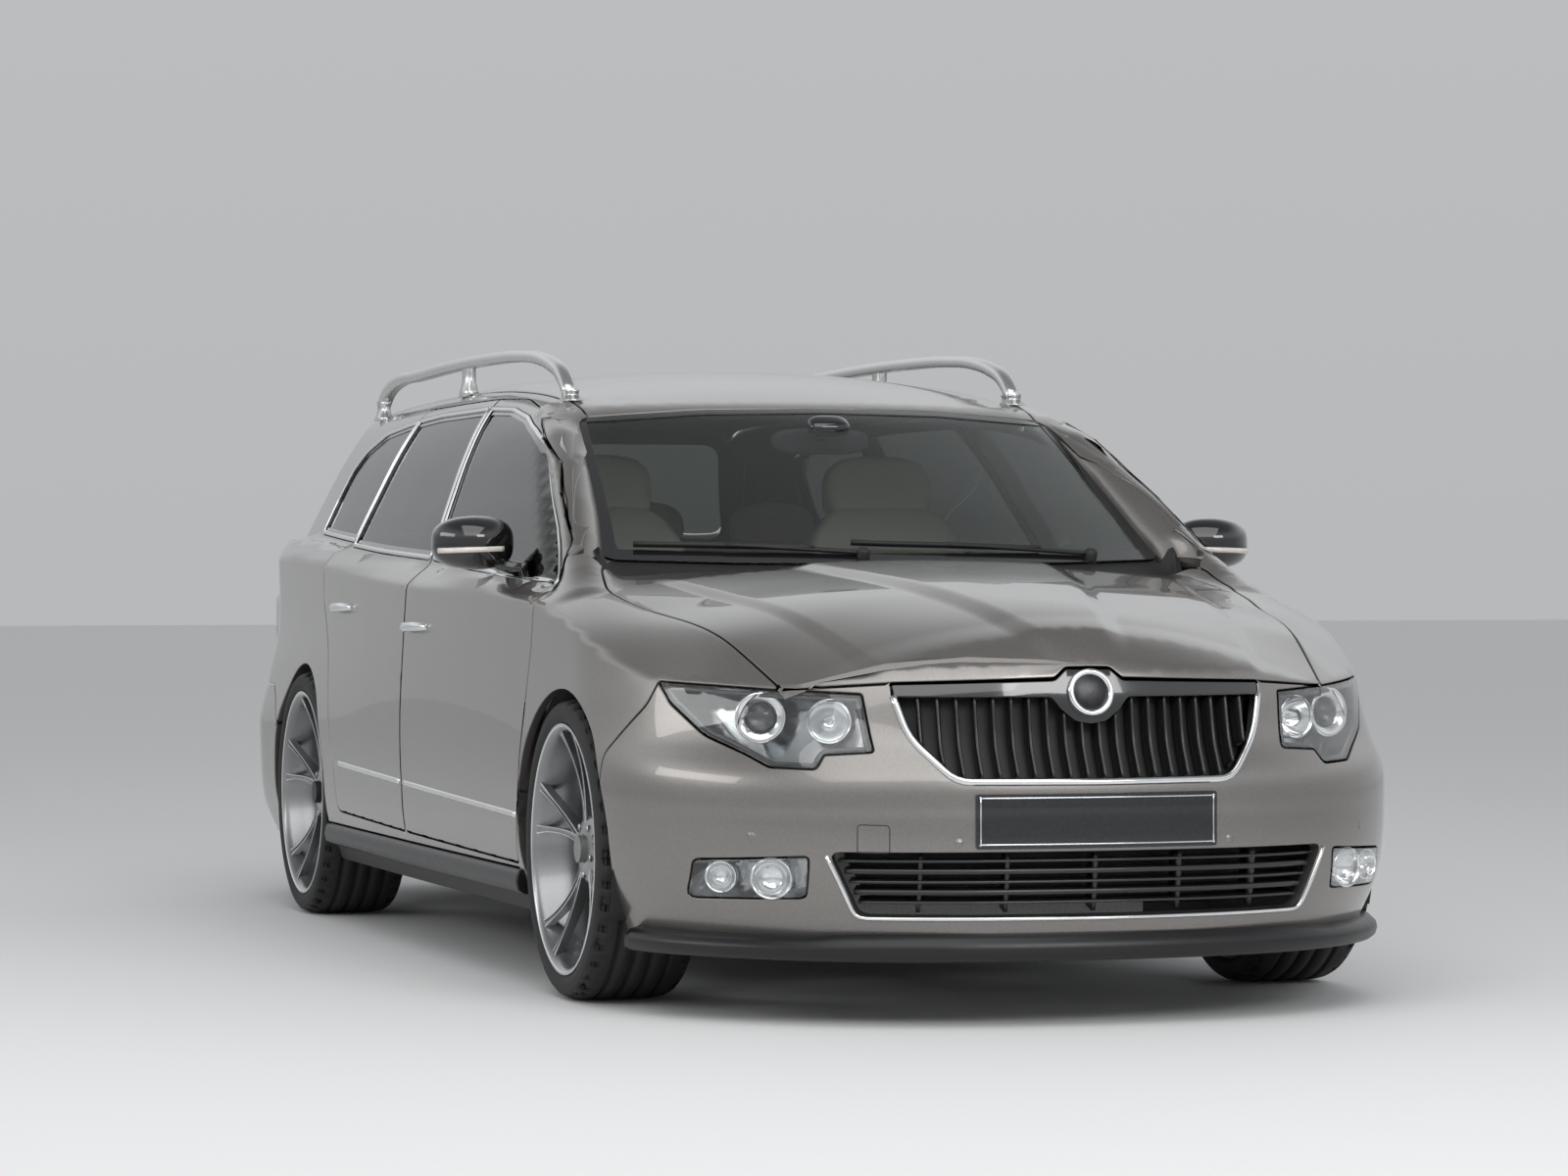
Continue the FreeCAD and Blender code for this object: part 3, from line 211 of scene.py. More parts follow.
def facing(p, surface=body_gap):
    """Outward direction of the surface at points on or near it."""
    slope = np.stack([surface(p + d) - surface(p - d) for d in np.eye(3) * 0.8], 1)
    return slope / np.linalg.norm(slope, axis=1, keepdims=True)


def onto_body(start, way, surface=body_gap):
    """Where lines that run outwards leave the surface, found by stepping in from far outside."""
    reach = np.full(len(start), 2700.0)
    for _ in range(60):
        gap = surface(start + way * reach[:, None])
        reach = np.maximum(reach - gap * 0.92, -400.0)
        if np.abs(gap).max() < 0.02:
            break
    return start + way * reach[:, None]


def both_sides(node=None):
    """Left and right, whether the side is flipped, and the solid that the left piece stands for."""
    for side in ("left", "right"):
        yield side, side == "right", [node] if node and side == "left" else []


class Flat:
    """A direction to look at the body from: outlines are drawn across it and laid on the surface along it."""

    def __init__(self, along, right=None, surface=body_gap):
        self.surface = surface
        self.way = np.array(along, float) / np.linalg.norm(along)
        right = np.array(right if right is not None else (1, 0, 0), float)
        right -= self.way * right.dot(self.way)
        self.right = right / np.linalg.norm(right)
        self.up = np.cross(self.way, self.right)
        if self.up[2] < 0 or (abs(self.up[2]) < 1e-9 and self.up[1] < 0):
            self.up = -self.up

    def flat(self, p):
        return np.stack((p @ self.right, p @ self.up), 1)

    def lay(self, q):
        start = q[:, :1] * self.right + q[:, 1:2] * self.up
        return onto_body(start, np.tile(self.way, (len(q), 1)), self.surface)


class Round:
    """The same for the nose and the tail, which are looked at from an upright axis inside the car."""

    def __init__(self, axis_x, ahead):
        self.axis_x, self.ahead = axis_x, ahead

    def flat(self, p):
        turn = np.arctan2(p[:, 1], self.ahead * (p[:, 0] - self.axis_x))
        return np.stack((turn * 1200, p[:, 2]), 1)

    def lay(self, q):
        turn = q[:, 0] / 1200
        start = np.stack((np.full(len(q), float(self.axis_x)), 0 * turn, q[:, 1]), 1)
        return onto_body(start, np.stack((self.ahead * np.cos(turn), np.sin(turn), 0 * turn), 1))


SIDE = Flat((0, 1, 0), (1, 0, 0))
TOP = Flat((0, 0, 1), (1, 0, 0))
FRONT = Flat((1, 0, 0), (0, 1, 0))
REAR = Flat((-1, 0, 0), (0, 1, 0))


def rounded(points, closed=True, step=14.0):
    """A drawn outline with its corners rounded: each point is two coordinates and a corner radius."""
    out = []
    count = len(points)
    for k, (a, b, r) in enumerate(points):
        here = np.array((a, b), float)
        if r <= 0 or (not closed and k in (0, count - 1)):
            out.append(here)
            continue
        before = np.array(points[k - 1][:2], float) - here
        after = np.array(points[(k + 1) % count][:2], float) - here
        lb, la = np.linalg.norm(before), np.linalg.norm(after)
        before, after = before / lb, after / la
        angle = math.acos(max(-1, min(1, before.dot(after))))
        back = min(r / math.tan(angle / 2), 0.49 * lb, 0.49 * la)
        pieces = max(3, int(back / 9) + 1)
        for s in np.linspace(0, 1, pieces + 1):
            out.append(here + before * back * (1 - s) ** 2 + after * back * s**2)
    dense = []
    ends = out + [out[0]] if closed else out
    for a, b in zip(ends[:-1], ends[1:]):
        n = max(1, int(np.linalg.norm(b - a) / step))
        dense += [a + (b - a) * k / n for k in range(n)]
    if not closed:
        dense.append(out[-1])
    return np.array(dense)


def mirrored(points):
    """The other half of a drawn outline: the same points across the car's middle, in turned order."""
    return tuple(points) + tuple((-a, b, r) for a, b, r in reversed(points))


def flipped(path):
    """A path on the surface carried across to the car's other side."""
    return path[::-1] * np.array((1, -1, 1))


def drawn(view, points, closed=True):
    """An outline drawn in a view, rounded and laid on the surface."""
    return view.lay(rounded(points, closed))


def spot_on(view, across, up):
    """One point of the surface as a view sees it."""
    return view.lay(np.array(((across, up),)))[0]


def level_line(view, first, last, height, count):
    """A line at one height, laid on the surface."""
    return view.lay(np.stack((np.linspace(first, last, count), np.full(count, height)), 1))


def joined_paths(*paths):
    """One outline from paths laid end to end."""
    spots = np.concatenate(paths)
    keep = np.linalg.norm(spots - np.roll(spots, 1, 0), axis=1) > 2.0
    return spots[keep]


def is_inside(q, outline):
    """Which points lie inside a closed outline."""
    inside = np.zeros(len(q), bool)
    a, b = outline, np.roll(outline, -1, 0)
    for (x1, y1), (x2, y2) in zip(a, b):
        if y1 == y2:
            continue
        crosses = (y1 > q[:, 1]) != (y2 > q[:, 1])
        inside ^= crosses & (q[:, 0] < (x2 - x1) * (q[:, 1] - y1) / (y2 - y1) + x1)
    return inside


def nearest(points, others):
    """How far each point lies from the nearest of some others."""
    return np.min(np.linalg.norm(points[:, None] - others[None], axis=2), axis=1)


def cut_sheet(view, keep, cuts=(), rows=(), step=26.0):
    """A sheet of triangles on the body inside one outline and outside the others."""
    loops = [view.flat(loop) for loop in (keep, *cuts)]
    lines = [view.flat(row) for row in rows]
    low, high = loops[0].min(0), loops[0].max(0)
    us, vs = np.arange(low[0], high[0], step), np.arange(low[1], high[1], step * 0.87)
    grid = np.array([(u + (k % 2) * step / 2, v) for k, v in enumerate(vs) for u in us])
    grid = grid[is_inside(grid, loops[0])]
    for loop in loops[1:]:
        grid = grid[~is_inside(grid, loop)]
    for loop in (*loops, *lines):
        grid = grid[nearest(grid, loop) > 11.0]
    spots, edges = [], []
    for loop in loops:
        base = len(spots)
        spots += list(loop)
        edges += [(base + k, base + (k + 1) % len(loop)) for k in range(len(loop))]
    for line in lines:
        spots += list(line)
    spots += list(grid)
    flat, _, faces, *_ = delaunay_2d_cdt([Vector(p) for p in spots], edges, [], 0, 0.01)
    flat = np.array([tuple(p) for p in flat])
    faces = np.array([f for f in faces if len(f) == 3])
    middle = flat[faces].mean(1)
    wanted = is_inside(middle, loops[0])
    for loop in loops[1:]:
        wanted &= ~is_inside(middle, loop)
    faces = faces[wanted]
    used, faces = np.unique(faces, return_inverse=True)
    return view.lay(flat[used]), faces.reshape(-1, 3)


def edge_ways(spots, faces, out):
    """The rim of a sheet: its vertices, the rim's edges, and the way into the sheet from each vertex."""
    pairs = np.concatenate((faces[:, [0, 1]], faces[:, [1, 2]], faces[:, [2, 0]]))
    known = {(a, b) for a, b in pairs.tolist()}
    rim = [(a, b) for a, b in pairs.tolist() if (b, a) not in known]
    way = {}
    for a, b in rim:
        along = spots[b] - spots[a]
        length = np.linalg.norm(along)
        if length < 1e-6:
            continue
        for v in (a, b):
            inward = np.cross(out[v], along / length)
            way.setdefault(v, []).append(inward / np.linalg.norm(inward))
    mean = {}
    for v, ways in way.items():
        total = np.sum(ways, 0)
        size = np.linalg.norm(total)
        total = total / size if size > 1e-6 else ways[0]
        mean[v] = total / max(0.55, total.dot(ways[0]))
    return rim, mean


def shell_mesh(name, spots, faces, depth, gap=2.3, hem=2.6, sink=0.0, flip=False, surface=body_gap):
    """A panel as thick as the real one, from a sheet on the body: rolled edges, a rim and an inner face."""
    out = facing(spots, surface)
    side = np.cross(spots[faces[:, 1]] - spots[faces[:, 0]], spots[faces[:, 2]] - spots[faces[:, 0]])
    turned = np.einsum("ij,ij->i", side, out[faces].sum(1)) < 0
    faces = np.where(turned[:, None], faces[:, ::-1], faces)
    rim, ways = edge_ways(spots, faces, out)
    skin = spots - out * sink
    count = len(spots)
    rings = {v: k for k, v in enumerate(ways)}
    rim_spots = np.array([skin[v] for v in rings])
    rim_out = np.array([out[v] for v in rings])
    rim_in = np.array([ways[v] for v in rings])
    skin[list(rings)] = rim_spots + rim_in * (gap + hem)
    levels = [
        (gap + hem * 0.29, hem * 0.29),
        (gap, hem),
        (gap, depth),
    ]
    parts = [skin]
    for inward, down in levels:
        parts.append(rim_spots + rim_in * inward - rim_out * down)
    inner = skin - out * depth
    parts.append(inner)
    ring_count = len(rings)
    first = [count + k * ring_count for k in range(3)]
    inner_first = count + 3 * ring_count
    flat_in = rim_in / np.linalg.norm(rim_in, axis=1, keepdims=True)
    roll = (rim_out - flat_in) / math.sqrt(2)
    quads, normals, slots = [], [], []
    for face in faces.tolist():
        quads.append(face)
        normals += [out[v] for v in face]
        slots.append(0)
    for a, b in rim:
        ra, rb = rings[a], rings[b]
        rows = [
            (a, b), (first[0] + ra, first[0] + rb), (first[1] + ra, first[1] + rb),
            (first[2] + ra, first[2] + rb)
        ]
        looks = [
            (out[a], out[b]), (roll[ra], roll[rb]), (-flat_in[ra], -flat_in[rb]), (-flat_in[ra], -flat_in[rb])
        ]
        for k in range(3):
            quads.append([rows[k][1], rows[k][0], rows[k + 1][0], rows[k + 1][1]])
            normals += [looks[k][1], looks[k][0], looks[k + 1][0], looks[k + 1][1]]
            slots.append(0)
    for face in faces.tolist():
        quads.append([first[2] + rings[v] if v in rings else inner_first + v for v in reversed(face)])
        normals += [-out[v] for v in reversed(face)]
        slots.append(1)
    every = np.concatenate(parts) / 1000
    normals = np.array(normals)
    if flip:
        every = every * (1, -1, 1)
    mesh = bpy.data.meshes.new(name)
    if flip:
        order, at = [], 0
        for quad in quads:
            order += list(range(at + len(quad) - 1, at - 1, -1))
            at += len(quad)
        quads = [quad[::-1] for quad in quads]
        normals = normals[order] * (1, -1, 1)
    mesh.from_pydata(every.tolist(), [], quads)
    mesh.polygons.foreach_set("material_index", slots)
    mesh.polygons.foreach_set("use_smooth", [True] * len(quads))
    mesh.normals_split_custom_set(normals.tolist())
    mesh.update()
    return mesh


def put(name, mesh, materials, body, replaces=()):
    """Sets a finished mesh in the scene as a piece on its body."""
    piece = bpy.data.objects.new(name, mesh)
    bpy.context.collection.objects.link(piece)
    for material in materials:
        mesh.materials.append(material)
    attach(piece, body)
    if replaces:
        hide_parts(*replaces)
    return piece

# Car paint: a warm silver-grey metallic under clear lacquer, the same on every outer panel.
# The flakes are a fine noise that shifts the colour, and a soft cloud over them varies the roughness.
def flake_group():
    """The flakes of metallic paint: cells that shift the colour, and a soft cloud over them."""
    group = bpy.data.node_groups.new("paint_flakes", "ShaderNodeTree")
    side = group.interface
    side.new_socket("Scale", in_out="INPUT", socket_type="NodeSocketFloat")
    side.new_socket("Flake", in_out="OUTPUT", socket_type="NodeSocketFloat")
    side.new_socket("Cloud", in_out="OUTPUT", socket_type="NodeSocketFloat")
    nodes, links = group.nodes, group.links
    start, end = nodes.new("NodeGroupInput"), nodes.new("NodeGroupOutput")
    place = nodes.new("ShaderNodeTexCoord")
    fine, soft = nodes.new("ShaderNodeTexVoronoi"), nodes.new("ShaderNodeTexNoise")
    soft.inputs["Scale"].default_value = 3.0
    soft.inputs["Detail"].default_value = 3.0
    links.new(place.outputs["Object"], fine.inputs["Vector"])
    links.new(place.outputs["Object"], soft.inputs["Vector"])
    links.new(start.outputs["Scale"], fine.inputs["Scale"])
    links.new(fine.outputs["Color"], end.inputs["Flake"])
    links.new(soft.outputs["Fac"], end.inputs["Cloud"])
    return group


flakes = flake_group()


def shader(material):
    """The nodes and links of a finish, and its surface."""
    material.use_nodes = True
    return material.node_tree.nodes, material.node_tree.links, material.node_tree.nodes["Principled BSDF"]


def car_paint():
    """Silver-grey metallic paint under clear lacquer."""
    paint = bpy.data.materials.new("silver_grey_paint")
    nodes, links, surface = shader(paint)
    flake = nodes.new("ShaderNodeGroup")
    flake.node_tree = flakes
    flake.inputs["Scale"].default_value = 900.0
    colour = nodes.new("ShaderNodeValToRGB")
    colour.color_ramp.elements[0].position = 0.1
    colour.color_ramp.elements[0].color = (0.205, 0.192, 0.181, 1)
    colour.color_ramp.elements[1].position = 0.9
    colour.color_ramp.elements[1].color = (0.275, 0.259, 0.245, 1)
    links.new(flake.outputs["Flake"], colour.inputs["Fac"])
    links.new(colour.outputs["Color"], surface.inputs["Base Color"])
    rough = nodes.new("ShaderNodeMapRange")
    rough.inputs["To Min"].default_value = 0.30
    rough.inputs["To Max"].default_value = 0.36
    links.new(flake.outputs["Cloud"], rough.inputs["Value"])
    links.new(rough.outputs["Result"], surface.inputs["Roughness"])
    surface.inputs["Metallic"].default_value = 0.85
    surface.inputs["Coat Weight"].default_value = 1.0
    surface.inputs["Coat Roughness"].default_value = 0.02
    surface.inputs["Coat IOR"].default_value = 1.5
    return paint


def plain_finish(name, colour, rough, metal=0.0, coat=0.0, grain=120.0, vary=0.12, bump=0.0, spread=0.06):
    """A finish whose colour, sheen and surface are broken up by a fine grain."""
    material = bpy.data.materials.new(name)
    nodes, links, surface = shader(material)
    place, noise = nodes.new("ShaderNodeTexCoord"), nodes.new("ShaderNodeTexNoise")
    noise.inputs["Scale"].default_value = grain
    noise.inputs["Detail"].default_value = 4.0
    links.new(place.outputs["Object"], noise.inputs["Vector"])
    ramp = nodes.new("ShaderNodeValToRGB")
    ramp.color_ramp.elements[0].position = 0.3
    ramp.color_ramp.elements[0].color = tuple(c * (1 - vary) for c in colour) + (1,)
    ramp.color_ramp.elements[1].position = 0.7
    ramp.color_ramp.elements[1].color = tuple(min(1, c * (1 + vary)) for c in colour) + (1,)
    links.new(noise.outputs["Fac"], ramp.inputs["Fac"])
    links.new(ramp.outputs["Color"], surface.inputs["Base Color"])
    rough_range = nodes.new("ShaderNodeMapRange")
    rough_range.inputs["To Min"].default_value = max(0.0, rough - spread)
    rough_range.inputs["To Max"].default_value = min(1.0, rough + spread)
    links.new(noise.outputs["Fac"], rough_range.inputs["Value"])
    links.new(rough_range.outputs["Result"], surface.inputs["Roughness"])
    surface.inputs["Metallic"].default_value = metal
    surface.inputs["Coat Weight"].default_value = coat
    surface.inputs["Coat Roughness"].default_value = 0.03
    if bump:
        relief = nodes.new("ShaderNodeBump")
        relief.inputs["Strength"].default_value = 0.35
        relief.inputs["Distance"].default_value = bump
        links.new(noise.outputs["Fac"], relief.inputs["Height"])
        links.new(relief.outputs["Normal"], surface.inputs["Normal"])
    return material


paint = car_paint()
under_body = plain_finish("sealed_steel", (0.035, 0.035, 0.036), 0.6, grain=60, vary=0.2, bump=0.0006)

# ---- Bonnet ----
# A pressed lid between the wings, from the grille up to the foot of the windscreen.
# It is hinged at the rear edge and carries a frame underneath, here its dark inner face.
BONNET_SIDE = (
    (2165, 598, 0), (2150, 601, 0), (1850, 658, 900), (1450, 731, 400), (1320, 741, 120), (1205, 722, 100),
    (1130, 676, 30), (1236, 300, 900), (1250, 0, 0)
)
NOSE_TOP = ((598, 687, 0), (400, 700, 100), (72, 710, 20), (46, 732, 16), (0, 733, 0))
BONNET_VIEW = Flat((0.5, 0, 0.87))
bonnet_side = drawn(TOP, BONNET_SIDE, False)
nose_edge = drawn(FRONT, NOSE_TOP, False)
bonnet_seam = joined_paths(bonnet_side, flipped(bonnet_side), flipped(nose_edge), nose_edge[::-1])
crease_lines = []
for foot, head, ramp in ((66, 318, 46), (396, 618, 44)):
    for off in (-0.75, -0.5, -0.25, 0.0, 0.25, 0.5, 0.75):
        run = np.linspace(0.02, 0.985, 75)
        line = TOP.lay(np.stack((2375 - 1125 * run, foot + (head - foot) * run + ramp * off), 1))
        crease_lines += [line, flipped(line)]
bonnet_flat = BONNET_VIEW.flat(bonnet_seam)
crease_lines = [line[is_inside(BONNET_VIEW.flat(line), bonnet_flat)] for line in crease_lines]
crease_lines = [line[nearest(line, bonnet_seam) > 9] for line in crease_lines]
spots, faces = cut_sheet(BONNET_VIEW, bonnet_seam, rows=crease_lines, step=24)
put(
    "bonnet_skin", shell_mesh("bonnet_skin", spots, faces, 16), [paint, under_body], "bonnet_body",
    ["bonnet"]
)

# ---- Windscreen ----
# A curved laminated glass between the roof, the pillars and the cowl, with a black printed border.
# It is bonded in, so only a thin dark joint shows round it.
WINDSCREEN_HALF = (
    (0, 951, 0), (400, 953, 800), (668, 963, 40), (650, 1026, 300), (602, 1240, 400), (588, 1290, 40),
    (300, 1311, 900), (0, 1316, 0)
)
screen_half = drawn(FRONT, WINDSCREEN_HALF, False)
screen_edge = joined_paths(screen_half, flipped(screen_half))
GLASS_HALF = (
    (0, 946, 0), (400, 948, 800), (684, 956, 40), (666, 1028, 300), (622, 1240, 400), (606, 1297, 40),
    (300, 1317, 900), (0, 1322, 0)
)


def tinted_glass(name, colour, rough=0.0, weight=1.0):
    """Clear or tinted glass with a faint unevenness in its tint."""
    glass = bpy.data.materials.new(name)
    nodes, links, surface = shader(glass)
    place, noise = nodes.new("ShaderNodeTexCoord"), nodes.new("ShaderNodeTexNoise")
    noise.inputs["Scale"].default_value = 2.0
    links.new(place.outputs["Object"], noise.inputs["Vector"])
    tint = nodes.new("ShaderNodeValToRGB")
    tint.color_ramp.elements[0].color = tuple(c * 0.96 for c in colour) + (1,)
    tint.color_ramp.elements[1].color = tuple(colour) + (1,)
    links.new(noise.outputs["Fac"], tint.inputs["Fac"])
    links.new(tint.outputs["Color"], surface.inputs["Base Color"])
    surface.inputs["Roughness"].default_value = rough
    surface.inputs["Metallic"].default_value = 0.0
    surface.inputs["Transmission Weight"].default_value = weight
    surface.inputs["IOR"].default_value = 1.45
    return glass


screen_glass = tinted_glass("windscreen_glass", (0.80, 0.86, 0.84))
side_glass = tinted_glass("dark_side_glass", (0.10, 0.105, 0.10))
black_gloss = plain_finish(
    "black_gloss", (0.008, 0.008, 0.009), 0.12, coat=1.0, grain=8, vary=0.1, spread=0.02
)
rubber = plain_finish("black_rubber", (0.012, 0.012, 0.012), 0.55, grain=300, vary=0.2, bump=0.0002)
SCREEN_VIEW = Flat((0.55, 0, 0.83), surface=cabin_gap)
CABIN_FRONT = Flat((1, 0, 0), (0, 1, 0), cabin_gap)
glass_half = drawn(CABIN_FRONT, GLASS_HALF, False)
glass_edge = joined_paths(glass_half, flipped(glass_half))
spots, faces = cut_sheet(SCREEN_VIEW, glass_edge, step=36)
put(
    "windscreen_pane", shell_mesh("windscreen_pane", spots, faces, 5, 0.5, 1.2, 3.0, surface=cabin_gap),
    [screen_glass, screen_glass], "car_body", ["windscreen"]
)


def inward(path, distance, centre, surface=body_gap):
    """A path on the surface moved across the surface towards a point inside it."""
    along = np.roll(path, -1, 0) - np.roll(path, 1, 0)
    way = np.cross(facing(path, surface), along)
    way /= np.linalg.norm(way, axis=1, keepdims=True)
    if np.einsum("ij,ij->i", way, centre - path).sum() < 0:
        way = -way
    return path + way * distance


screen_centre = np.array((860.0, 0, 1130.0))
border = inward(glass_edge, 44.0, screen_centre, cabin_gap)
spots, faces = cut_sheet(SCREEN_VIEW, glass_edge, [border], step=36)
put(
    "windscreen_border", shell_mesh("windscreen_border", spots, faces, 1.2, 1.0, 0.4, 1.6, surface=cabin_gap),
    [black_gloss, black_gloss], "car_body"
)

# ---- Cowl ----
# A black moulded panel between the bonnet and the windscreen, where the wipers sit.
# It is clipped to the body and tucks under the bonnet's rear edge.
COWL = (
    (1130, 676, 0), (1236, 300, 900), (1250, 0, 0), (1236, -300, 900), (1130, -676, 0), (1080, -690, 0),
    (1000, -600, 0), (1000, 600, 0), (1080, 690, 0)
)
cowl_edge = joined_paths(drawn(TOP, COWL, True))
spots, faces = cut_sheet(TOP, cowl_edge, [screen_edge], step=24)
put("cowl", shell_mesh("cowl", spots, faces, 20, 0.5, 2.0, 9.0), [rubber, rubber], "car_body")

# ---- Roof ----
# One pressed steel panel between the gutters, from the windscreen back to the tailgate.
# It is welded to the roof edges of the body sides.
ROOF_HALF = ((900, 560, 0), (380, 566, 300), (-300, 572, 900), (-1985, 545, 0))
roof_side = drawn(TOP, ROOF_HALF, False)
roof_edge = joined_paths(roof_side, flipped(roof_side))
spots, faces = cut_sheet(TOP, roof_edge, [screen_edge], step=36)
put(
    "roof_skin", shell_mesh("roof_skin", spots, faces, 22), [paint, under_body], "car_body", ["roof_panel"],
)

# ---- Doors ----
# Four hollow pressed doors with a painted frame round the window and a black trimmed inner face.
# A black frame and a bright line hold the dark glass; each door hangs on hinges in its front gap.
FRONT_DOOR = (
    (1102, 274, 18), (1192, 600, 500), (1212, 760, 300), (1212, 888, 12), (1075, 1000, 300), (745, 1182, 900),
    (400, 1302, 700), (60, 1349, 900), (-196, 1356, 6), (2, 948, 60), (5, 287, 22)
)
REAR_DOOR = (
    (2, 287, 22), (-1, 948, 60), (-199, 1356, 6), (-985, 1352, 10), (-1088, 990, 30), (-1080, 850, 60),
    (-945, 700, 250), (-812, 440, 250), (-775, 300, 35)
)
# Windows: the outer edge of the bright line that frames them.
FRONT_WINDOW = (
    (1178, 899, 4), (1050, 988, 300), (932, 1052, 300), (829, 1106, 300), (699, 1167, 300), (552, 1228, 300),
    (422, 1266, 300), (263, 1300, 300), (60, 1325, 300), (-178, 1334, 4), (10, 953, 20), (400, 931, 600)
)
REAR_WINDOW = (
    (-9, 953, 20), (-203, 1334, 4), (-712, 1332, 500), (-976, 1324, 4), (-1062, 988, 6), (-600, 970, 600)
)
QUARTER_WINDOW = (
    (-1068, 1000, 6), (-990, 1324, 6), (-1380, 1302, 300), (-1580, 1258, 120), (-1668, 1205, 60),
    (-1702, 1120, 80), (-1712, 1026, 14)
)
door_trim = plain_finish("door_trim", (0.05, 0.047, 0.043), 0.55, grain=500, vary=0.15, bump=0.0003)
chrome = plain_finish("bright_chrome", (0.82, 0.83, 0.84), 0.10, metal=1.0, grain=30, vary=0.04, spread=0.03)


def finished(bm, name, smooth=True):
    """The mesh of a finished form, shaded smooth or flat."""
    mesh = bpy.data.meshes.new(name)
    bm.to_mesh(mesh)
    bm.free()
    for face in mesh.polygons:
        face.use_smooth = smooth
    return mesh


def beading(name, path, width, height, closed=True, flip=False):
    """A half-round bead laid on the surface along a path, as a mesh."""
    out = facing(path)
    ahead = np.roll(path, -1, 0) - np.roll(path, 1, 0)
    if not closed:
        ahead[0], ahead[-1] = path[1] - path[0], path[-1] - path[-2]
    across = np.cross(out, ahead)
    across /= np.linalg.norm(across, axis=1, keepdims=True)
    shape = ((-0.5, -0.6), (-0.5, 0.35), (-0.28, 0.85), (0.0, 1.0), (0.28, 0.85), (0.5, 0.35), (0.5, -0.6))
    bead = bmesh.new()
    rows = []
    for p, n, a in zip(path, out, across):
        row = []
        for s, h in shape:
            spot = (p + a * s * width + n * h * height) / 1000
            row.append(bead.verts.new((spot[0], -spot[1] if flip else spot[1], spot[2])))
        rows.append(row)
    turns = len(rows) if closed else len(rows) - 1
    for k in range(turns):
        here, after = rows[k], rows[(k + 1) % len(rows)]
        for j in range(len(shape)):
            bead.faces.new((here[j], here[(j + 1) % 7], after[(j + 1) % 7], after[j]))
    if not closed:
        bead.faces.new(rows[0])
        bead.faces.new(rows[-1][::-1])
    bmesh.ops.recalc_face_normals(bead, faces=bead.faces)
    return finished(bead, name)


def crease_rows(first, last, step=16):
    """Rows of points along the shoulder line, close together across it."""
    along = np.arange(first, last, step, float)
    rows = []
    for rise in (-16, -7, 0, 7, 16):
        high = 886 - 0.0237 * along + rise
        rows.append(SIDE.lay(np.stack((along, high), 1)))
    return rows


def door_pieces(place, outline, window, body_left, body_right, first, last):
    """The skin, window frame, glass and bright line of a left and a right door."""
    edge, opening = drawn(SIDE, outline), drawn(SIDE, window)
    centre = opening.mean(0)
    pane_edge = inward(opening, 24.0, centre)
    bead_line = inward(opening, 5.5, centre)
    door = cut_sheet(SIDE, edge, [opening], crease_rows(first, last), 26)
    frame_sheet = cut_sheet(SIDE, opening, [pane_edge], step=26)
    pane = cut_sheet(SIDE, pane_edge, step=34)
    for side, body in (("left", body_left), ("right", body_right)):
        flip = side == "right"
        put(
            f"{place}_door_skin_{side}", shell_mesh("door", *door, 52, flip=flip), [paint, door_trim], body,
            [f"{place}_door_{side}"]
        )
        put(
            f"{place}_window_frame_{side}", shell_mesh("frame", *frame_sheet, 44, 0.2, 1.0, 3.0, flip),
            [black_gloss, door_trim], body
        )
        put(
            f"{place}_door_pane_{side}", shell_mesh("pane", *pane, 4, -3.0, 0.6, 6.0, flip),
            [side_glass, side_glass], body, [f"{place}_door_glass_{side}"]
        )
        put(f"{place}_window_bead_{side}", beading("bead", bead_line, 12, 3.5, flip=flip), [chrome], body)


door_pieces("front", FRONT_DOOR, FRONT_WINDOW, "front_door_body_left", "front_door_body_right", 60, 1180)
door_pieces("rear", REAR_DOOR, REAR_WINDOW, "rear_door_body_left", "rear_door_body_right", -1040, -40)

# ---- Wings ----
# Front wings of pressed steel, bolted on between the bonnet, the doors and the bumper.
# Each has a rolled wheel arch, and openings for the lamp and the door.
def circle_on_side(x, z, radius):
    """A wheel arch: a circle seen from the side, laid on the surface."""
    turn = np.linspace(0, 2 * math.pi, 120, endpoint=False)
    return SIDE.lay(np.stack((x + radius * np.cos(turn), z + radius * np.sin(turn)), 1))


HEADLAMP = (
    (448, 562, 8), (459, 678, 6), (610, 686, 60), (790, 699, 3), (778, 655, 40), (735, 592, 60),
    (676, 556, 40), (640, 530, 20), (560, 527, 15), (540, 556, 10)
)
headlamp_edge = drawn(FRONT, HEADLAMP)
FRONT_AXLE, REAR_AXLE, HUB_HEIGHT, ARCH_RADIUS = 1479.0, -1282.0, 326.0, 345
front_arch = circle_on_side(FRONT_AXLE, HUB_HEIGHT, ARCH_RADIUS)
rear_arch = circle_on_side(REAR_AXLE, HUB_HEIGHT, ARCH_RADIUS)
front_door_edge = drawn(SIDE, FRONT_DOOR)
rear_door_edge = drawn(SIDE, REAR_DOOR)
WING_VIEW = Flat((0.2, 0.8, 0.56))
wing_top = drawn(
    TOP,
    (
        (1130, 676, 0), (1205, 722, 100), (1320, 741, 120), (1450, 731, 400), (1850, 658, 900),
        (2150, 601, 0), (2165, 598, 0)
    ),
    False
)
wing_lamp = drawn(FRONT, ((598, 687, 0), (640, 660, 0), (760, 680, 0), (790, 697, 0)), False)
BUMPER_SEAM = ((1904, 697, 0), (1890, 650, 60), (1790, 545, 40), (1775, 300, 0), (1775, 200, 0))
bumper_seam = drawn(SIDE, BUMPER_SEAM, False)
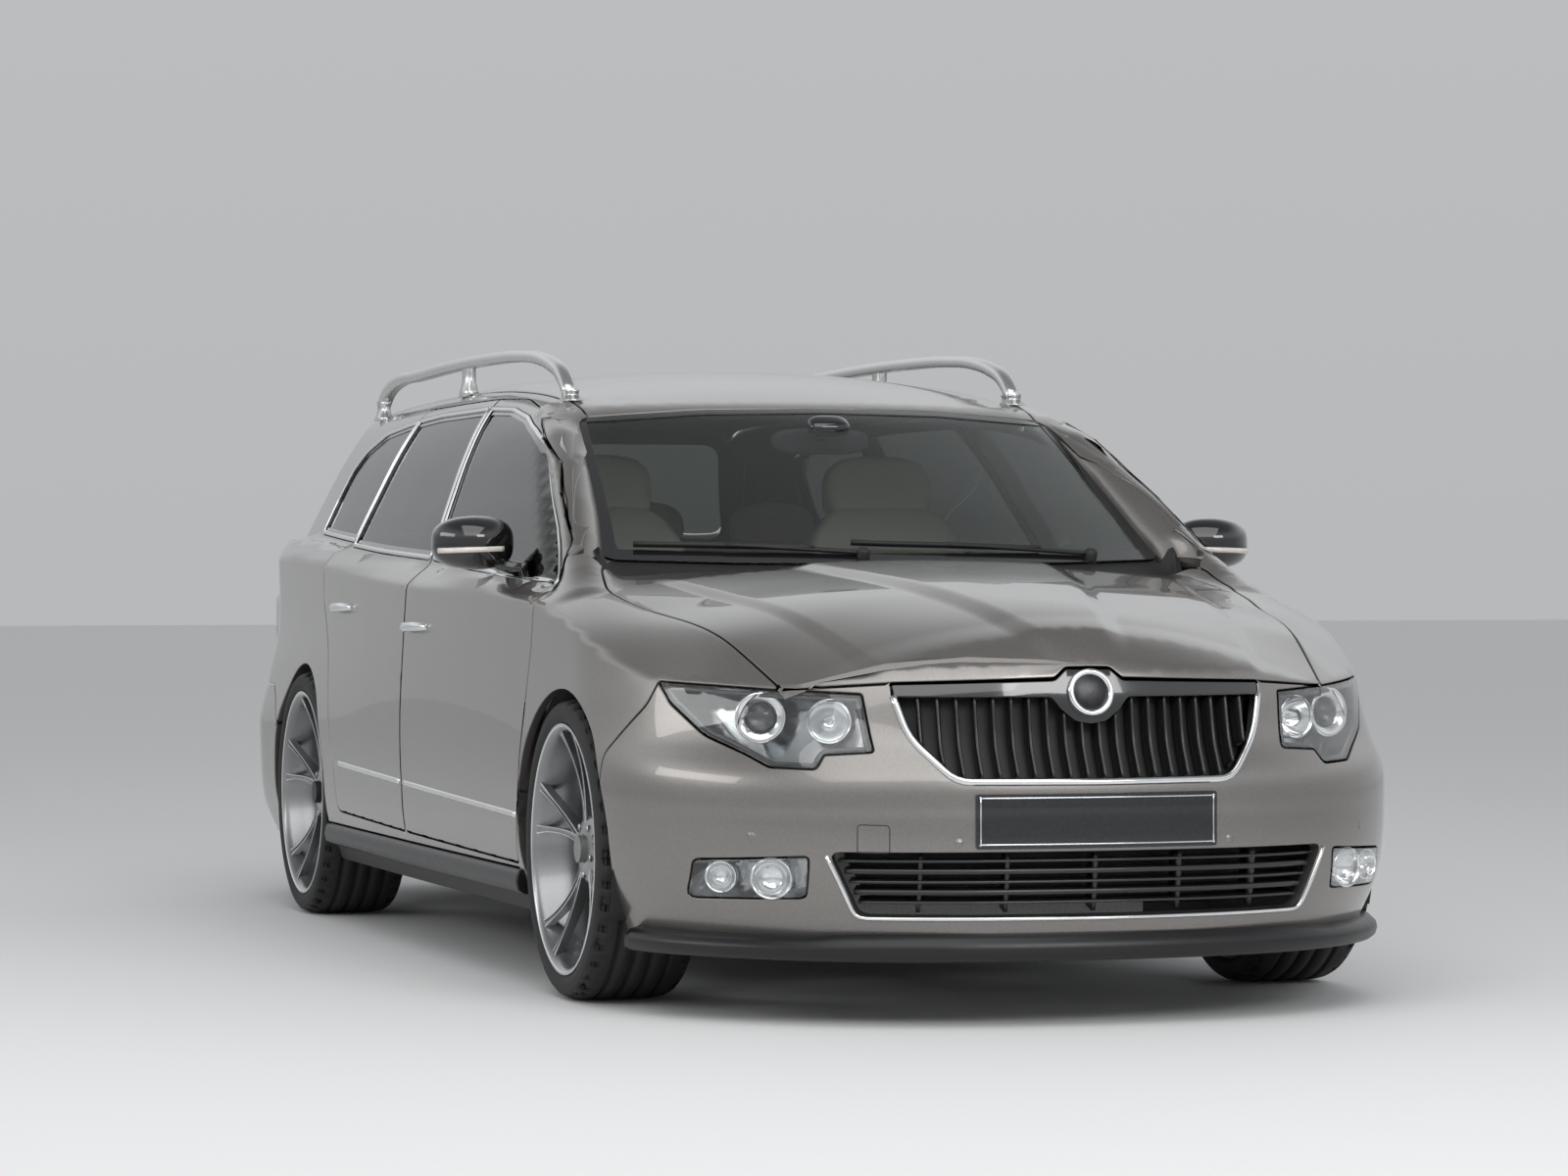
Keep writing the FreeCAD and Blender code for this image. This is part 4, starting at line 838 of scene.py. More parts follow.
wing_foot = drawn(
    SIDE,
    (
        (1775, 200, 0), (1095, 200, 0), (1095, 260, 0), (1180, 560, 0), (1212, 760, 300), (1212, 888, 12),
        (1130, 956, 0)
    ),
    False
)
wing_edge = joined_paths(wing_top, wing_lamp, bumper_seam, wing_foot)
wing = cut_sheet(WING_VIEW, wing_edge, [headlamp_edge, front_arch, front_door_edge, screen_edge], step=22)
for side, flip, names in both_sides("front_fenders"):
    put(
        f"wing_skin_{side}", shell_mesh("wing", *wing, 18, flip=flip), [paint, under_body], "car_body", names,
    )

# ---- Body sides ----
# Sills, pillars, the roof's edge and the rear quarters: one welded steel side on each hand.
# Doors, lamps, rear windows and wheel arches are cut out of it.
TAILGATE_SIDE = ((600, 1262, 0), (660, 1010, 60), (582, 960, 30), (568, 760, 60), (560, 612, 0))
tail_edge = joined_paths(
    drawn(TOP, ((-1985, 545, 0), (-1980, 592, 0)), False), drawn(REAR, TAILGATE_SIDE, False)
)
REAR_ROUND = Round(-1150, -1)


def turn_at(view, x, z):
    """How far round the nose or the tail a point of the car's side lies."""
    return view.flat(SIDE.lay(np.array([(x, z)])))[0, 0]


tail_turn = REAR_ROUND.flat(tail_edge[-1:])[0, 0]
rear_bumper_line = level_line(REAR_ROUND, tail_turn, turn_at(REAR_ROUND, -1720.0, 604.0), 606.0, 60)
side_foot = drawn(
    SIDE,
    (
        (-1720, 604, 0), (-1640, 560, 60), (-1560, 480, 0), (-1560, 262, 0), (1110, 262, 0), (1150, 400, 0),
        (1192, 600, 500), (1212, 760, 300), (1212, 888, 12), (1130, 956, 0)
    ),
    False
)
pillar_foot = drawn(TOP, ((1130, 676, 0), (900, 560, 0)), False)
side_edge = joined_paths(side_foot, pillar_foot, roof_side, tail_edge, rear_bumper_line)
SIDE_VIEW = Flat((-0.05, 0.74, 0.67))
quarter_edge = drawn(SIDE, QUARTER_WINDOW)
lamp_back = drawn(REAR, ((574, 775, 0), (582, 955, 0), (700, 952, 0), (770, 949, 0)), False)
lamp_side = drawn(SIDE, ((-2150, 938, 0), (-2112, 930, 0), (-2108, 750, 0), (-2210, 750, 0)), False)
lamp_back_foot = drawn(REAR, ((760, 758, 0), (700, 765, 0), (574, 775, 0)), False)
tail_lamp_edge = joined_paths(lamp_back, lamp_side, lamp_back_foot)


def lengths_along(points):
    """How far along a line each of its points lies."""
    return np.concatenate(([0], np.cumsum(np.linalg.norm(np.diff(points, axis=0), axis=1))))


def evenly(line, count):
    """Points at even spaces along a broken line."""
    reach = lengths_along(line)
    share = np.linspace(0, 1, count)
    return np.stack([np.interp(share * reach[-1], reach, line[:, k]) for k in (0, 1)], 1)


post_count = 44
glass_side = np.array(((676, 950), (664, 985), (650, 1026), (626, 1133), (602, 1240), (590, 1286)), float)
door_side = np.array(((1148, 940), (1075, 1000), (922, 1090), (745, 1182), (577, 1247), (425, 1294)), float)
post_in = CABIN_FRONT.lay(evenly(glass_side, post_count))
post_out = SIDE.lay(evenly(door_side, post_count))
for _ in range(6):
    post_in[1:-1] = (post_in[:-2] + post_in[1:-1] * 2 + post_in[2:]) / 4
post_loop = joined_paths(post_in[2:-2], post_out[2:-2][::-1])
cuts = [
    front_door_edge, rear_door_edge, quarter_edge, tail_lamp_edge, rear_arch, front_arch, screen_edge,
    post_loop
]
body_side = cut_sheet(SIDE_VIEW, side_edge, cuts, crease_rows(-2080, -1110), 26)
for side, flip, names in both_sides("body_sides"):
    put(
        f"body_side_{side}", shell_mesh("side", *body_side, 40, flip=flip), [paint, under_body], "car_body",
        names
    )

# ---- Windscreen posts ----
# The painted posts beside the windscreen, each a steel section from the glass to the door's frame.
# They are lofted between a line along the glass and a line along the door.
post_ahead = np.gradient((post_in + post_out) / 2, axis=0)
post_face = np.cross(post_out - post_in, post_ahead)
post_face *= np.sign(post_face[:, 2:3])
post_face /= np.linalg.norm(post_face, axis=1, keepdims=True)
in_face, out_face = facing(post_in, cabin_gap), facing(post_out)
for side in ("left", "right"):
    hand = np.array((1, -1 if side == "right" else 1, 1)) / 1000
    post = bmesh.new()
    rows = []
    for k in range(post_count):
        a, b, n = post_in[k], post_out[k], post_face[k]
        swell = 17.0 * min(1, (post_count - 1 - k) / 8 + 0.15)
        row = [post.verts.new((a - in_face[k] * 14 + (b - a) * 0.02) * hand)]
        for s in np.linspace(0, 1, 13):
            spot = (a + (b - a) * (0.02 + s * 0.982) + in_face[k] * 6 * (1 - s) ** 2
                    - out_face[k] * 2.5 * s ** 4 + n * swell * (1 - (2 * s - 1) ** 2) ** 0.8)
            row.append(post.verts.new(spot * hand))
        row.append(post.verts.new((b - out_face[k] * 16 - (b - a) * 0.03) * hand))
        rows.append(row)
    for here, after in zip(rows[:-1], rows[1:]):
        for j in range(len(here) - 1):
            post.faces.new((here[j], here[j + 1], after[j + 1], after[j]))
        post.faces.new((here[-1], here[0], after[0], after[-1]))
    post.faces.new(rows[0])
    post.faces.new(rows[-1][::-1])
    bmesh.ops.recalc_face_normals(post, faces=post.faces)
    mesh = finished(post, f"post_{side}")
    mesh.set_sharp_from_angle(angle=math.radians(50))
    put(f"windscreen_post_{side}", mesh, [paint], "car_body")

# ---- Rear side windows ----
# Dark fixed panes behind the rear doors, bonded into the body sides.
# A black border and a bright line run round each.
pane_edge = inward(quarter_edge, 22.0, quarter_edge.mean(0))
quarter_frame = cut_sheet(SIDE, quarter_edge, [pane_edge], step=26)
quarter_pane = cut_sheet(SIDE, pane_edge, step=34)
bead_line = inward(quarter_edge, 5.5, quarter_edge.mean(0))
for side, flip, names in both_sides("quarter_glass"):
    put(
        f"quarter_frame_{side}", shell_mesh("frame", *quarter_frame, 20, 0.2, 1.0, 3.0, flip),
        [black_gloss, black_gloss], "car_body"
    )
    put(
        f"quarter_pane_{side}", shell_mesh("pane", *quarter_pane, 4, -3.0, 0.6, 6.0, flip),
        [side_glass, side_glass], "car_body", names
    )
    put(f"quarter_bead_{side}", beading("bead", bead_line, 12, 3.5, flip=flip), [chrome], "car_body")

# ---- Tailgate ----
# One hollow pressed lid over the load space, hinged at the roof, with a dark bonded window.
# Its inner face is trimmed in black.
TAILGATE_VIEW = Flat((-0.93, 0, 0.37), (0, 1, 0))
tail_top = drawn(TOP, ((-1985, 545, 0), (-1992, 300, 0), (-1995, 0, 0)), False)
tail_foot = drawn(REAR, ((560, 612, 0), (0, 610, 0)), False)
tail_half = joined_paths(tail_top[::-1], tail_edge, tail_foot)
tailgate_edge = joined_paths(tail_half, flipped(tail_half))
TAILGATE_WINDOW = mirrored(((585, 1030, 40), (520, 1312, 60)))
window_edge = drawn(REAR, TAILGATE_WINDOW)
tailgate = cut_sheet(TAILGATE_VIEW, tailgate_edge, [window_edge], step=28)
put(
    "tailgate_skin", shell_mesh("tailgate", *tailgate, 40), [paint, door_trim], "tailgate_body", ["tailgate"],
)
rear_pane = cut_sheet(TAILGATE_VIEW, window_edge, step=34)
put(
    "tailgate_pane", shell_mesh("pane", *rear_pane, 4, 1.0, 0.8, 1.0), [side_glass, side_glass],
    "tailgate_body", ["tailgate_glass"]
)

# ---- Front bumper ----
# A moulded and painted plastic cover round the nose, clipped to the wings.
# Openings are left for the lamps, fog lamps, grille, lower intake and wheel arches.
FOG_LAMP = ((577, 349, 10), (578, 264, 12), (770, 257, 16), (766, 337, 12))
INTAKE = mirrored(((480, 226, 30), (540, 357, 12)))
GRILLE_HALF = ((300, 500, 70), (378, 590, 150), (402, 676, 10), (402, 698, 3), (74, 706, 20), (48, 729, 14))
GRILLE = mirrored(GRILLE_HALF)
NOSE_ROUND = Round(1100, 1)
fog_edge = drawn(FRONT, FOG_LAMP)
intake_edge = drawn(FRONT, INTAKE)
grille_edge = drawn(FRONT, GRILLE)
bumper_low = level_line(NOSE_ROUND, turn_at(NOSE_ROUND, 1775.0, 168.0), 0, 168.0, 90)
bumper_half = joined_paths(nose_edge[::-1], wing_lamp, bumper_seam[:-2], bumper_low)
bumper_edge = joined_paths(bumper_half, flipped(bumper_half))
cuts = [
    headlamp_edge, flipped(headlamp_edge), fog_edge, flipped(fog_edge), intake_edge, grille_edge, front_arch,
    flipped(front_arch)
]
bumper = cut_sheet(NOSE_ROUND, bumper_edge, cuts, step=24)
put(
    "front_bumper_skin", shell_mesh("bumper", *bumper, 26), [paint, under_body], "car_body", ["front_bumper"],
)

# ---- Rear bumper ----
# The same kind of cover round the tail, from arch to arch below the tailgate.
# Its shape is a guess, because the photograph doesn't show it.
rear_line = level_line(REAR_ROUND, 0, turn_at(REAR_ROUND, -1720.0, 604.0), 606.0, 80)
rear_side = drawn(SIDE, ((-1720, 604, 0), (-1640, 560, 60), (-1560, 480, 0), (-1560, 180, 0)), False)
rear_low = level_line(REAR_ROUND, turn_at(REAR_ROUND, -1560.0, 180.0), 0, 180.0, 90)
rear_half = joined_paths(rear_line, rear_side, rear_low)
rear_edge = joined_paths(rear_half, flipped(rear_half))
rear_bumper = cut_sheet(REAR_ROUND, rear_edge, [rear_arch, flipped(rear_arch)], step=26)
put(
    "rear_bumper_skin", shell_mesh("bumper", *rear_bumper, 26), [paint, under_body], "car_body",
    ["rear_bumper"]
)

# ---- Headlamps ----
# Clear plastic covers over a bright reflector bowl, bonded into the nose beside the grille.
# Inside are a round projector with its ring and shade, and a smaller main beam bowl.
def bowl_mesh(name, spots, faces, start, depth, gap=1.5, lean=0.0, flip=False):
    """The inside of a lamp: walls that run in from the cover's edge, and a floor behind."""
    out = facing(spots)
    side = np.cross(spots[faces[:, 1]] - spots[faces[:, 0]], spots[faces[:, 2]] - spots[faces[:, 0]])
    turned = np.einsum("ij,ij->i", side, out[faces].sum(1)) < 0
    faces = np.where(turned[:, None], faces[:, ::-1], faces)
    rim, ways = edge_ways(spots, faces, out)
    bowl = bmesh.new()
    hand = np.array((1, -1 if flip else 1, 1)) / 1000
    front, back = {}, {}
    for v, way in ways.items():
        front[v] = bowl.verts.new((spots[v] + way * gap - out[v] * start) * hand)
    for v in np.unique(faces):
        way = ways.get(v, np.zeros(3))
        back[v] = bowl.verts.new((spots[v] + way * (gap + lean) - out[v] * depth) * hand)
    for face in faces.tolist():
        bowl.faces.new([back[v] for v in face])
    for a, b in rim:
        bowl.faces.new((front[a], front[b], back[b], back[a]))
    if flip:
        bmesh.ops.reverse_faces(bowl, faces=bowl.faces)
    return finished(bowl, name)


def turned_mesh(name, profile, centre, axis, steps=40, flip=False):
    """A round part spun from a profile of radius and place along its axis."""
    spun = bmesh.new()
    verts = [spun.verts.new((r / 1000, 0, a / 1000)) for r, a in profile]
    edges = [spun.edges.new(pair) for pair in zip(verts[:-1], verts[1:])]
    bmesh.ops.spin(
        spun, geom=verts + edges, cent=(0, 0, 0), axis=(0, 0, 1), angle=2 * math.pi, steps=steps,
        use_merge=True
    )
    bmesh.ops.remove_doubles(spun, verts=spun.verts, dist=1e-6)
    bmesh.ops.recalc_face_normals(spun, faces=spun.faces)
    turn = Vector(axis).to_track_quat("Z", "Y").to_matrix().to_4x4()
    bmesh.ops.transform(spun, matrix=Matrix.Translation(Vector(centre) / 1000) @ turn, verts=spun.verts)
    if flip:
        bmesh.ops.scale(spun, vec=(1, -1, 1), verts=spun.verts)
        bmesh.ops.reverse_faces(spun, faces=spun.faces)
    return finished(spun, name)


lamp_glass = tinted_glass("lamp_cover", (0.97, 0.98, 0.98))
reflector = plain_finish("lamp_reflector", (0.40, 0.41, 0.42), 0.20, metal=1.0, grain=14, vary=0.05)
lamp_bezel = plain_finish("lamp_bezel", (0.10, 0.10, 0.105), 0.25, metal=0.6, grain=20)
LAMP_VIEW = Flat((0.8, 0.58, 0.12), (-0.58, 0.8, 0))
cover = cut_sheet(LAMP_VIEW, headlamp_edge, step=18)
lamp_trim = inward(headlamp_edge, 12.0, headlamp_edge.mean(0))
for side, flip, names in both_sides("headlamps"):
    put(
        f"headlamp_cover_{side}", shell_mesh("cover", *cover, 3, 2.0, 1.5, 0.0, flip),
        [lamp_glass, lamp_glass], "car_body", names
    )
    put(f"headlamp_bowl_{side}", bowl_mesh("bowl", *cover, 5, 78, 3.0, 10.0, flip), [reflector], "car_body")
    put(
        f"headlamp_trim_{side}", beading("trim", lamp_trim - facing(lamp_trim) * 9, 9, 3.0, flip=flip),
        [lamp_bezel], "car_body"
    )
    middle = spot_on(FRONT, 640.0, 628.0)
    way = np.array((0.93, 0.32, 0.02))
    deep = middle - way * 62
    ring = [(30, 30), (34, 34), (42, 38), (50, 42), (53, 40), (53, 34), (46, 10), (40, -20)]
    put(f"projector_ring_{side}", turned_mesh("ring", ring, deep, way, 48, flip), [chrome], "car_body")
    ball = [(0.01, 44), (10, 43), (20, 39), (27, 33), (31, 26), (32, 20), (32, 0)]
    put(f"projector_lens_{side}", turned_mesh("lens", ball, deep, way, 48, flip), [lamp_glass], "car_body")
    shade = [(0.01, 6), (16, 8), (30, 16), (33, 22), (36, 34), (34, 35)]
    put(f"projector_shade_{side}", turned_mesh("shade", shade, deep, way, 48, flip), [lamp_bezel], "car_body")
    middle = spot_on(FRONT, 522.0, 622.0)
    deep = middle - way * 66
    dish = [(0.01, 2), (10, 3), (22, 10), (34, 24), (41, 40), (44, 48), (46, 48), (46, 10)]
    put(f"main_beam_{side}", turned_mesh("dish", dish, deep, way, 48, flip), [chrome], "car_body")
    bulb = [(0.01, 30), (5, 29), (7, 24), (7, 6)]
    put(f"main_bulb_{side}", turned_mesh("bulb", bulb, deep, way, 24, flip), [lamp_glass], "car_body")

# ---- Fog lamps ----
# Small clear covers low in the bumper, each over a bright bowl.
# A round lamp sits inboard and a smaller dish outboard of it.
fog_cover = cut_sheet(LAMP_VIEW, fog_edge, step=16)
for side, flip, names in both_sides("fog_lamps"):
    put(
        f"fog_cover_{side}", shell_mesh("cover", *fog_cover, 3, 2.0, 1.5, 0.0, flip),
        [lamp_glass, lamp_glass], "car_body", names
    )
    put(f"fog_bowl_{side}", bowl_mesh("bowl", *fog_cover, 4, 46, 2.5, 6.0, flip), [reflector], "car_body")
    for place, radius in ((640.0, 40), (722.0, 30)):
        middle = spot_on(FRONT, place, 303.0)
        way = np.array((0.9, 0.43, 0))
        dish = [
            (0.01, 0), (radius * 0.4, 2), (radius * 0.75, 12), (radius * 0.96, 28), (radius, 34),
            (radius + 3, 34), (radius + 3, 5)
        ]
        put(
            f"fog_dish_{int(place)}_{side}", turned_mesh("dish", dish, middle - way * 40, way, 40, flip),
            [chrome], "car_body"
        )

# ---- Grille ----
# A bright surround and upright black slats set in the nose's own curve, with a black sheet behind them as
# painted shade for the dark inside.
# A glossy cross bar dips round the badge, which is a blank disc in a ring.
grille_black = plain_finish(
    "grille_black", (0.012, 0.012, 0.013), 0.32, coat=0.4, grain=200, vary=0.15, bump=0.0001
)
surround = drawn(FRONT, ((401, 674, 0), (378, 590, 150), (300, 502, 70), (0, 500, 0)), False)
surround = joined_paths(surround, flipped(surround))
put(
    "grille_surround", beading("surround", surround, 15, 7, False), [chrome], "car_body", ["grille"],
)


def swept(name, path, shape, outs=None, flip=False):
    """A closed section carried along a path: the section's first size runs across, its second outwards."""
    out = facing(path) if outs is None else outs
    ahead = np.gradient(path, axis=0)
    across = np.cross(out, ahead)
    across /= np.linalg.norm(across, axis=1, keepdims=True)
    bar = bmesh.new()
    rows = []
    for k, (p, n, a) in enumerate(zip(path, out, across)):
        ring = shape[k] if isinstance(shape[0][0], (tuple, list, np.ndarray)) else shape
        row = []
        for s, h in ring:
            spot = (p + a * s + n * h) / 1000
            row.append(bar.verts.new((spot[0], -spot[1] if flip else spot[1], spot[2])))
        rows.append(row)
    count = len(rows[0])
    for here, after in zip(rows[:-1], rows[1:]):
        for j in range(count):
            bar.faces.new((here[j], here[(j + 1) % count], after[(j + 1) % count], after[j]))
    bar.faces.new(rows[0])
    bar.faces.new(rows[-1][::-1])
    bmesh.ops.recalc_face_normals(bar, faces=bar.faces)
    mesh = finished(bar, name)
    for face in mesh.polygons:
        face.use_smooth = len(face.vertices) == 4
    return mesh


slat_shape = ((-1.6, -4), (1.6, -4), (3.4, -7), (6.0, -22), (5.0, -34), (-5.0, -34), (-6.0, -22), (-3.4, -7))
for number in range(-10, 10):
    place = 18.7 + 37.4 * number
    reach = abs(place)
    foot = 510.0 if reach < 290 else 510 + (reach - 290) * 1.05
    top = 674.0 if reach > 72 else 640.0
    high = np.linspace(foot, top, 14)
    line = FRONT.lay(np.stack((np.full(14, place), high), 1))
    put(f"slat_{number + 11:02d}", swept("slat", line, slat_shape), [grille_black], "car_body")
# A black sheet behind the slats: painted shade standing in for the dark inside of the grille.
back = cut_sheet(FRONT, grille_edge, step=30)
put("grille_back", shell_mesh("back", *back, 4, 1.0, 0.5, 40), [rubber, rubber], "car_body")
BAR = (
    (401, 698, 3), (74, 706, 20), (48, 729, 14), (-48, 729, 14), (-74, 706, 20), (-401, 698, 3),
    (-401, 672, 0), (-84, 671, 14), (-64, 646, 20), (-34, 622, 30), (0, 616, 40), (34, 622, 30),
    (64, 646, 20), (84, 671, 14), (401, 672, 0)
)
bar_edge = drawn(FRONT, BAR)
bar_sheet = cut_sheet(FRONT, bar_edge, step=20)
put("grille_bar", shell_mesh("bar", *bar_sheet, 14, 0.6, 3.0, -1.0), [black_gloss, black_gloss], "car_body")
badge_at = spot_on(FRONT, 0.0, 680.0)
badge_way = facing(badge_at[None])[0]
ring = [(36, 3), (37, 8), (40, 11), (44, 12), (48, 10), (50, 5), (50, -2)]
put("badge_ring", turned_mesh("ring", ring, badge_at, badge_way, 64), [chrome], "car_body")
disc = [(0.01, 8.0), (12, 7.6), (24, 6.6), (34, 4.6), (38, 3.0), (38, -2)]
badge_face = plain_finish("badge_face", (0.05, 0.05, 0.052), 0.30, metal=1.0, grain=60)
put("badge_disc", turned_mesh("disc", disc, badge_at, badge_way, 64), [badge_face], "car_body")

# ---- Lower intake ----
# An opening in the bumper with five cross slats and five ribs of black plastic; a black sheet deep in it is
# painted shade for its dark inside.
# A thin bright line runs round its sides and foot.
intake_line = drawn(FRONT, ((546, 352, 0), (486, 224, 34), (0, 222, 0)), False)
intake_line = joined_paths(intake_line, flipped(intake_line))
put(
    "intake_line", beading("line", intake_line, 9, 5, False), [chrome], "car_body", ["lower_grille"],
)
# A black sheet deep in the opening: painted shade for the dark inside of the intake.
back = cut_sheet(FRONT, intake_edge, step=40)
put("intake_back", shell_mesh("back", *back, 4, 1.0, 0.5, 95), [rubber, rubber], "car_body")
# Columns: height, half length.
INTAKE_SLATS = ((340.0, 528), (318.0, 516), (296.0, 506), (274.0, 496), (252.0, 486))
for number, (height, half) in enumerate(INTAKE_SLATS):
    thin = number % 2 == 0
    line = level_line(FRONT, -half, half, height, 60)
    cut = 2.2 if thin else 4.5
    shape = ((-cut, -14), (cut, -14), (cut + 1, -18), (cut + 2, -46), (-cut - 2, -46), (-cut - 1, -18))
    put(f"intake_slat_{number}", swept("slat", line, shape), [grille_black], "car_body")
for number, place in enumerate((-370.0, -190.0, 0.0, 190.0, 370.0)):
    line = FRONT.lay(np.stack((np.full(10, place), np.linspace(230, 352, 10)), 1))
    put(
        f"intake_rib_{number}", swept("rib", line, ((-4, -22), (4, -22), (5, -60), (-5, -60))),
        [grille_black], "car_body"
    )

# ---- Front lip ----
# A satin black plastic blade screwed under the bumper.
# It is raised a little in its middle and eases in at both ends.
lip_turn = np.linspace(-1010, 1010, 120)
lip_line = NOSE_ROUND.lay(np.stack((lip_turn, np.full(120, 262.0)), 1))
lip_out = facing(lip_line) * (1, 1, 0)
lip_out /= np.linalg.norm(lip_out, axis=1, keepdims=True)


def lip_section(turn):
    """The lip's section at a place round the nose: across and outwards."""
    rise = 10 * max(0.0, 1 - (abs(turn) / 560) ** 6)
    ease = min(1.0, (1010 - abs(turn)) / 130 + 0.35)
    return [
        (h - 262, o * ease if o > 0 else o) for o,
        h in (
            (-34, 186 + rise), (-12, 180 + rise), (1, 168 + rise * 0.4), (4, 156), (0, 143), (-9, 136),
            (-60, 131), (-96, 150), (-96, 186)
        )
    ]


lip_shape = [lip_section(t) for t in lip_turn]
lip = swept("lip", lip_line, lip_shape, lip_out)
satin_black = plain_finish("satin_black", (0.006, 0.006, 0.007), 0.34, grain=40, vary=0.1)
put("front_lip_blade", lip, [satin_black], "car_body", ["front_lip"])

# ---- Number plate ----
# A blank black board in a thin silver frame, screwed to the bumper.
# It carries no letters.
PLATE = ((261, 366, 6), (261, 478, 6), (-261, 478, 6), (-261, 366, 6))
plate_edge = drawn(FRONT, PLATE)
plate_sheet = cut_sheet(FRONT, plate_edge, step=30)
plate_black = plain_finish("plate_black", (0.010, 0.011, 0.014), 0.28, coat=0.5, grain=100)
put(
    "plate_board", shell_mesh("plate", *plate_sheet, 8, 0.0, 2.0, -8.0), [plate_black, plate_black],
    "car_body", ["number_plate"]
)
frame_line = inward(plate_edge, 9.0, plate_edge.mean(0))
put("plate_frame", beading("frame", frame_line + facing(frame_line) * 8, 3.0, 1.2), [chrome], "car_body")

# ---- Parking sensors and towing cover ----
# Four round sensors pressed flush into the bumper and painted with it.
# The joint of the square cover over the towing eye is a thin dark line.
for number, (place, height) in enumerate(((-675.0, 388.0), (-295.0, 378.0), (295.0, 378.0), (675.0, 388.0))):
    at = spot_on(FRONT, place, height)
    way = facing(at[None])[0]
    dot = [(0.01, 2.0), (6.5, 1.8), (7.5, 1.0), (8.2, 0.2), (9.4, 0.8), (10.2, -0.6), (10.2, -4)]
    put(f"sensor_{number}", turned_mesh("dot", dot, at, way, 24), [paint], "car_body")
tow = drawn(FRONT, ((-490, 359, 5), (-430, 358, 5), (-430, 414, 8), (-490, 416, 8)))
put("tow_cover_joint", beading("joint", tow, 2.0, 0.5), [rubber], "car_body")

# ---- Sills and skirts ----
# A satin black plastic blade along the foot of each side, from arch to arch.
# Behind it is the dark flat sill that the jack takes.
sill_line = level_line(SIDE, 1128, -938, 262.0, 90)
sill_out = np.tile((0.0, 1.0, 0.0), (90, 1))
skirt_shape = [
    (h - 262, o) for o,
    h in ((-4, 262), (5, 259), (11, 250), (13, 232), (9, 214), (-4, 206), (-40, 206), (-40, 262))
]
sill_shape = [
    (h - 262, o) for o,
    h in ((-16, 208), (-26, 196), (-34, 170), (-40, 165), (-95, 165), (-95, 262), (-44, 262), (-44, 208))
]
for side, flip, _ in both_sides():
    put(
        f"skirt_{side}", swept("skirt", sill_line, skirt_shape, sill_out, flip=flip), [satin_black],
        "car_body"
    )
    put(f"sill_{side}", swept("sill", sill_line, sill_shape, sill_out, flip=flip), [rubber], "car_body")

# ---- Tyres ----
# Low, wide road tyres of moulded rubber: smooth sidewalls with a raised line and four grooves.
# The shoulders have cut blocks, and each tyre sits on its rim's beads.
tyre_rubber = plain_finish("tyre_rubber", (0.016, 0.016, 0.017), 0.72, grain=260, vary=0.25, bump=0.0003)
half_tyre = (
    (90, 268), (104, 270), (112, 276), (116.5, 288), (117, 298), (115.5, 302), (116, 304), (114, 310),
    (108, 317), (99, 321.5), (88, 323.6), (70, 324.8)
)
grooves = ((64, 325), (63, 317.5), (55, 317.5), (54, 325.4), (24, 325.8), (23, 318), (14, 318), (13, 326))
tyre_profile = list(half_tyre) + list(grooves)
tyre_profile += [(-s, r) for s, r in reversed(tyre_profile)]


def wheel_mesh(profile, centre, steps, closed=False):
    """A ring spun round a wheel's axle from pairs of place along the axle and radius."""
    spun = bmesh.new()
    verts = [spun.verts.new((r / 1000, s / 1000, 0)) for s, r in profile]
    edges = [spun.edges.new(pair) for pair in zip(verts[:-1], verts[1:])]
    if closed:
        edges.append(spun.edges.new((verts[-1], verts[0])))
    bmesh.ops.spin(
        spun, geom=verts + edges, cent=(0, 0, 0), axis=(0, 1, 0), angle=2 * math.pi, steps=steps,
        use_merge=True
    )
    bmesh.ops.remove_doubles(spun, verts=spun.verts, dist=1e-6)
    bmesh.ops.recalc_face_normals(spun, faces=spun.faces)
    bmesh.ops.translate(spun, vec=Vector(centre) / 1000, verts=spun.verts)
    return spun


def tyre_piece(name, centre, body, node):
    """A tyre with every third tread face of its shoulders cut in."""
    tyre = wheel_mesh(tyre_profile, centre, 120, True)
    blocks = []
    for face in tyre.faces:
        spot = face.calc_center_median() * 1000 - Vector(centre)
        reach = math.hypot(spot.x, spot.z)
        turn = round(math.degrees(math.atan2(spot.z, spot.x)) / 3)
        if 316 < reach < 325 and 86 < abs(spot.y) < 112 and turn % 3 == 0:
            blocks.append(face)
    made = bmesh.ops.extrude_discrete_faces(tyre, faces=blocks)
    for face in made["faces"]:
        spot = face.calc_center_median() * 1000 - Vector(centre)
        inward_way = Vector((-spot.x, 0, -spot.z)).normalized() * 0.0035
        bmesh.ops.translate(tyre, vec=inward_way, verts=face.verts)
    mesh = finished(tyre, name)
    put(name, mesh, [tyre_rubber], body, [node])


# ---- Rims ----
# Cast alloy wheels with five pairs of slim dished spokes, five bolts and a plain hub cap.
# They are dark grey with bright machined faces and edge; an iron brake disc stands behind each.
gunmetal = plain_finish(
    "wheel_gunmetal", (0.30, 0.305, 0.31), 0.30, metal=0.9, coat=0.6, grain=900, vary=0.18
)
machined = plain_finish(
    "wheel_bright_face", (0.66, 0.67, 0.68), 0.24, metal=1.0, coat=0.3, grain=40, vary=0.05
)
iron = plain_finish("brake_iron", (0.33, 0.32, 0.31), 0.42, metal=1.0, grain=90, vary=0.15)
RIM_PROFILE = (
    (112, 264), (114, 268), (113, 272), (108, 273), (104, 268), (98, 262), (60, 252), (20, 236), (-60, 240),
    (-100, 262), (-110, 272), (-113, 268), (-104, 256), (-60, 233), (20, 229), (60, 244), (92, 254),
    (104, 257)
)


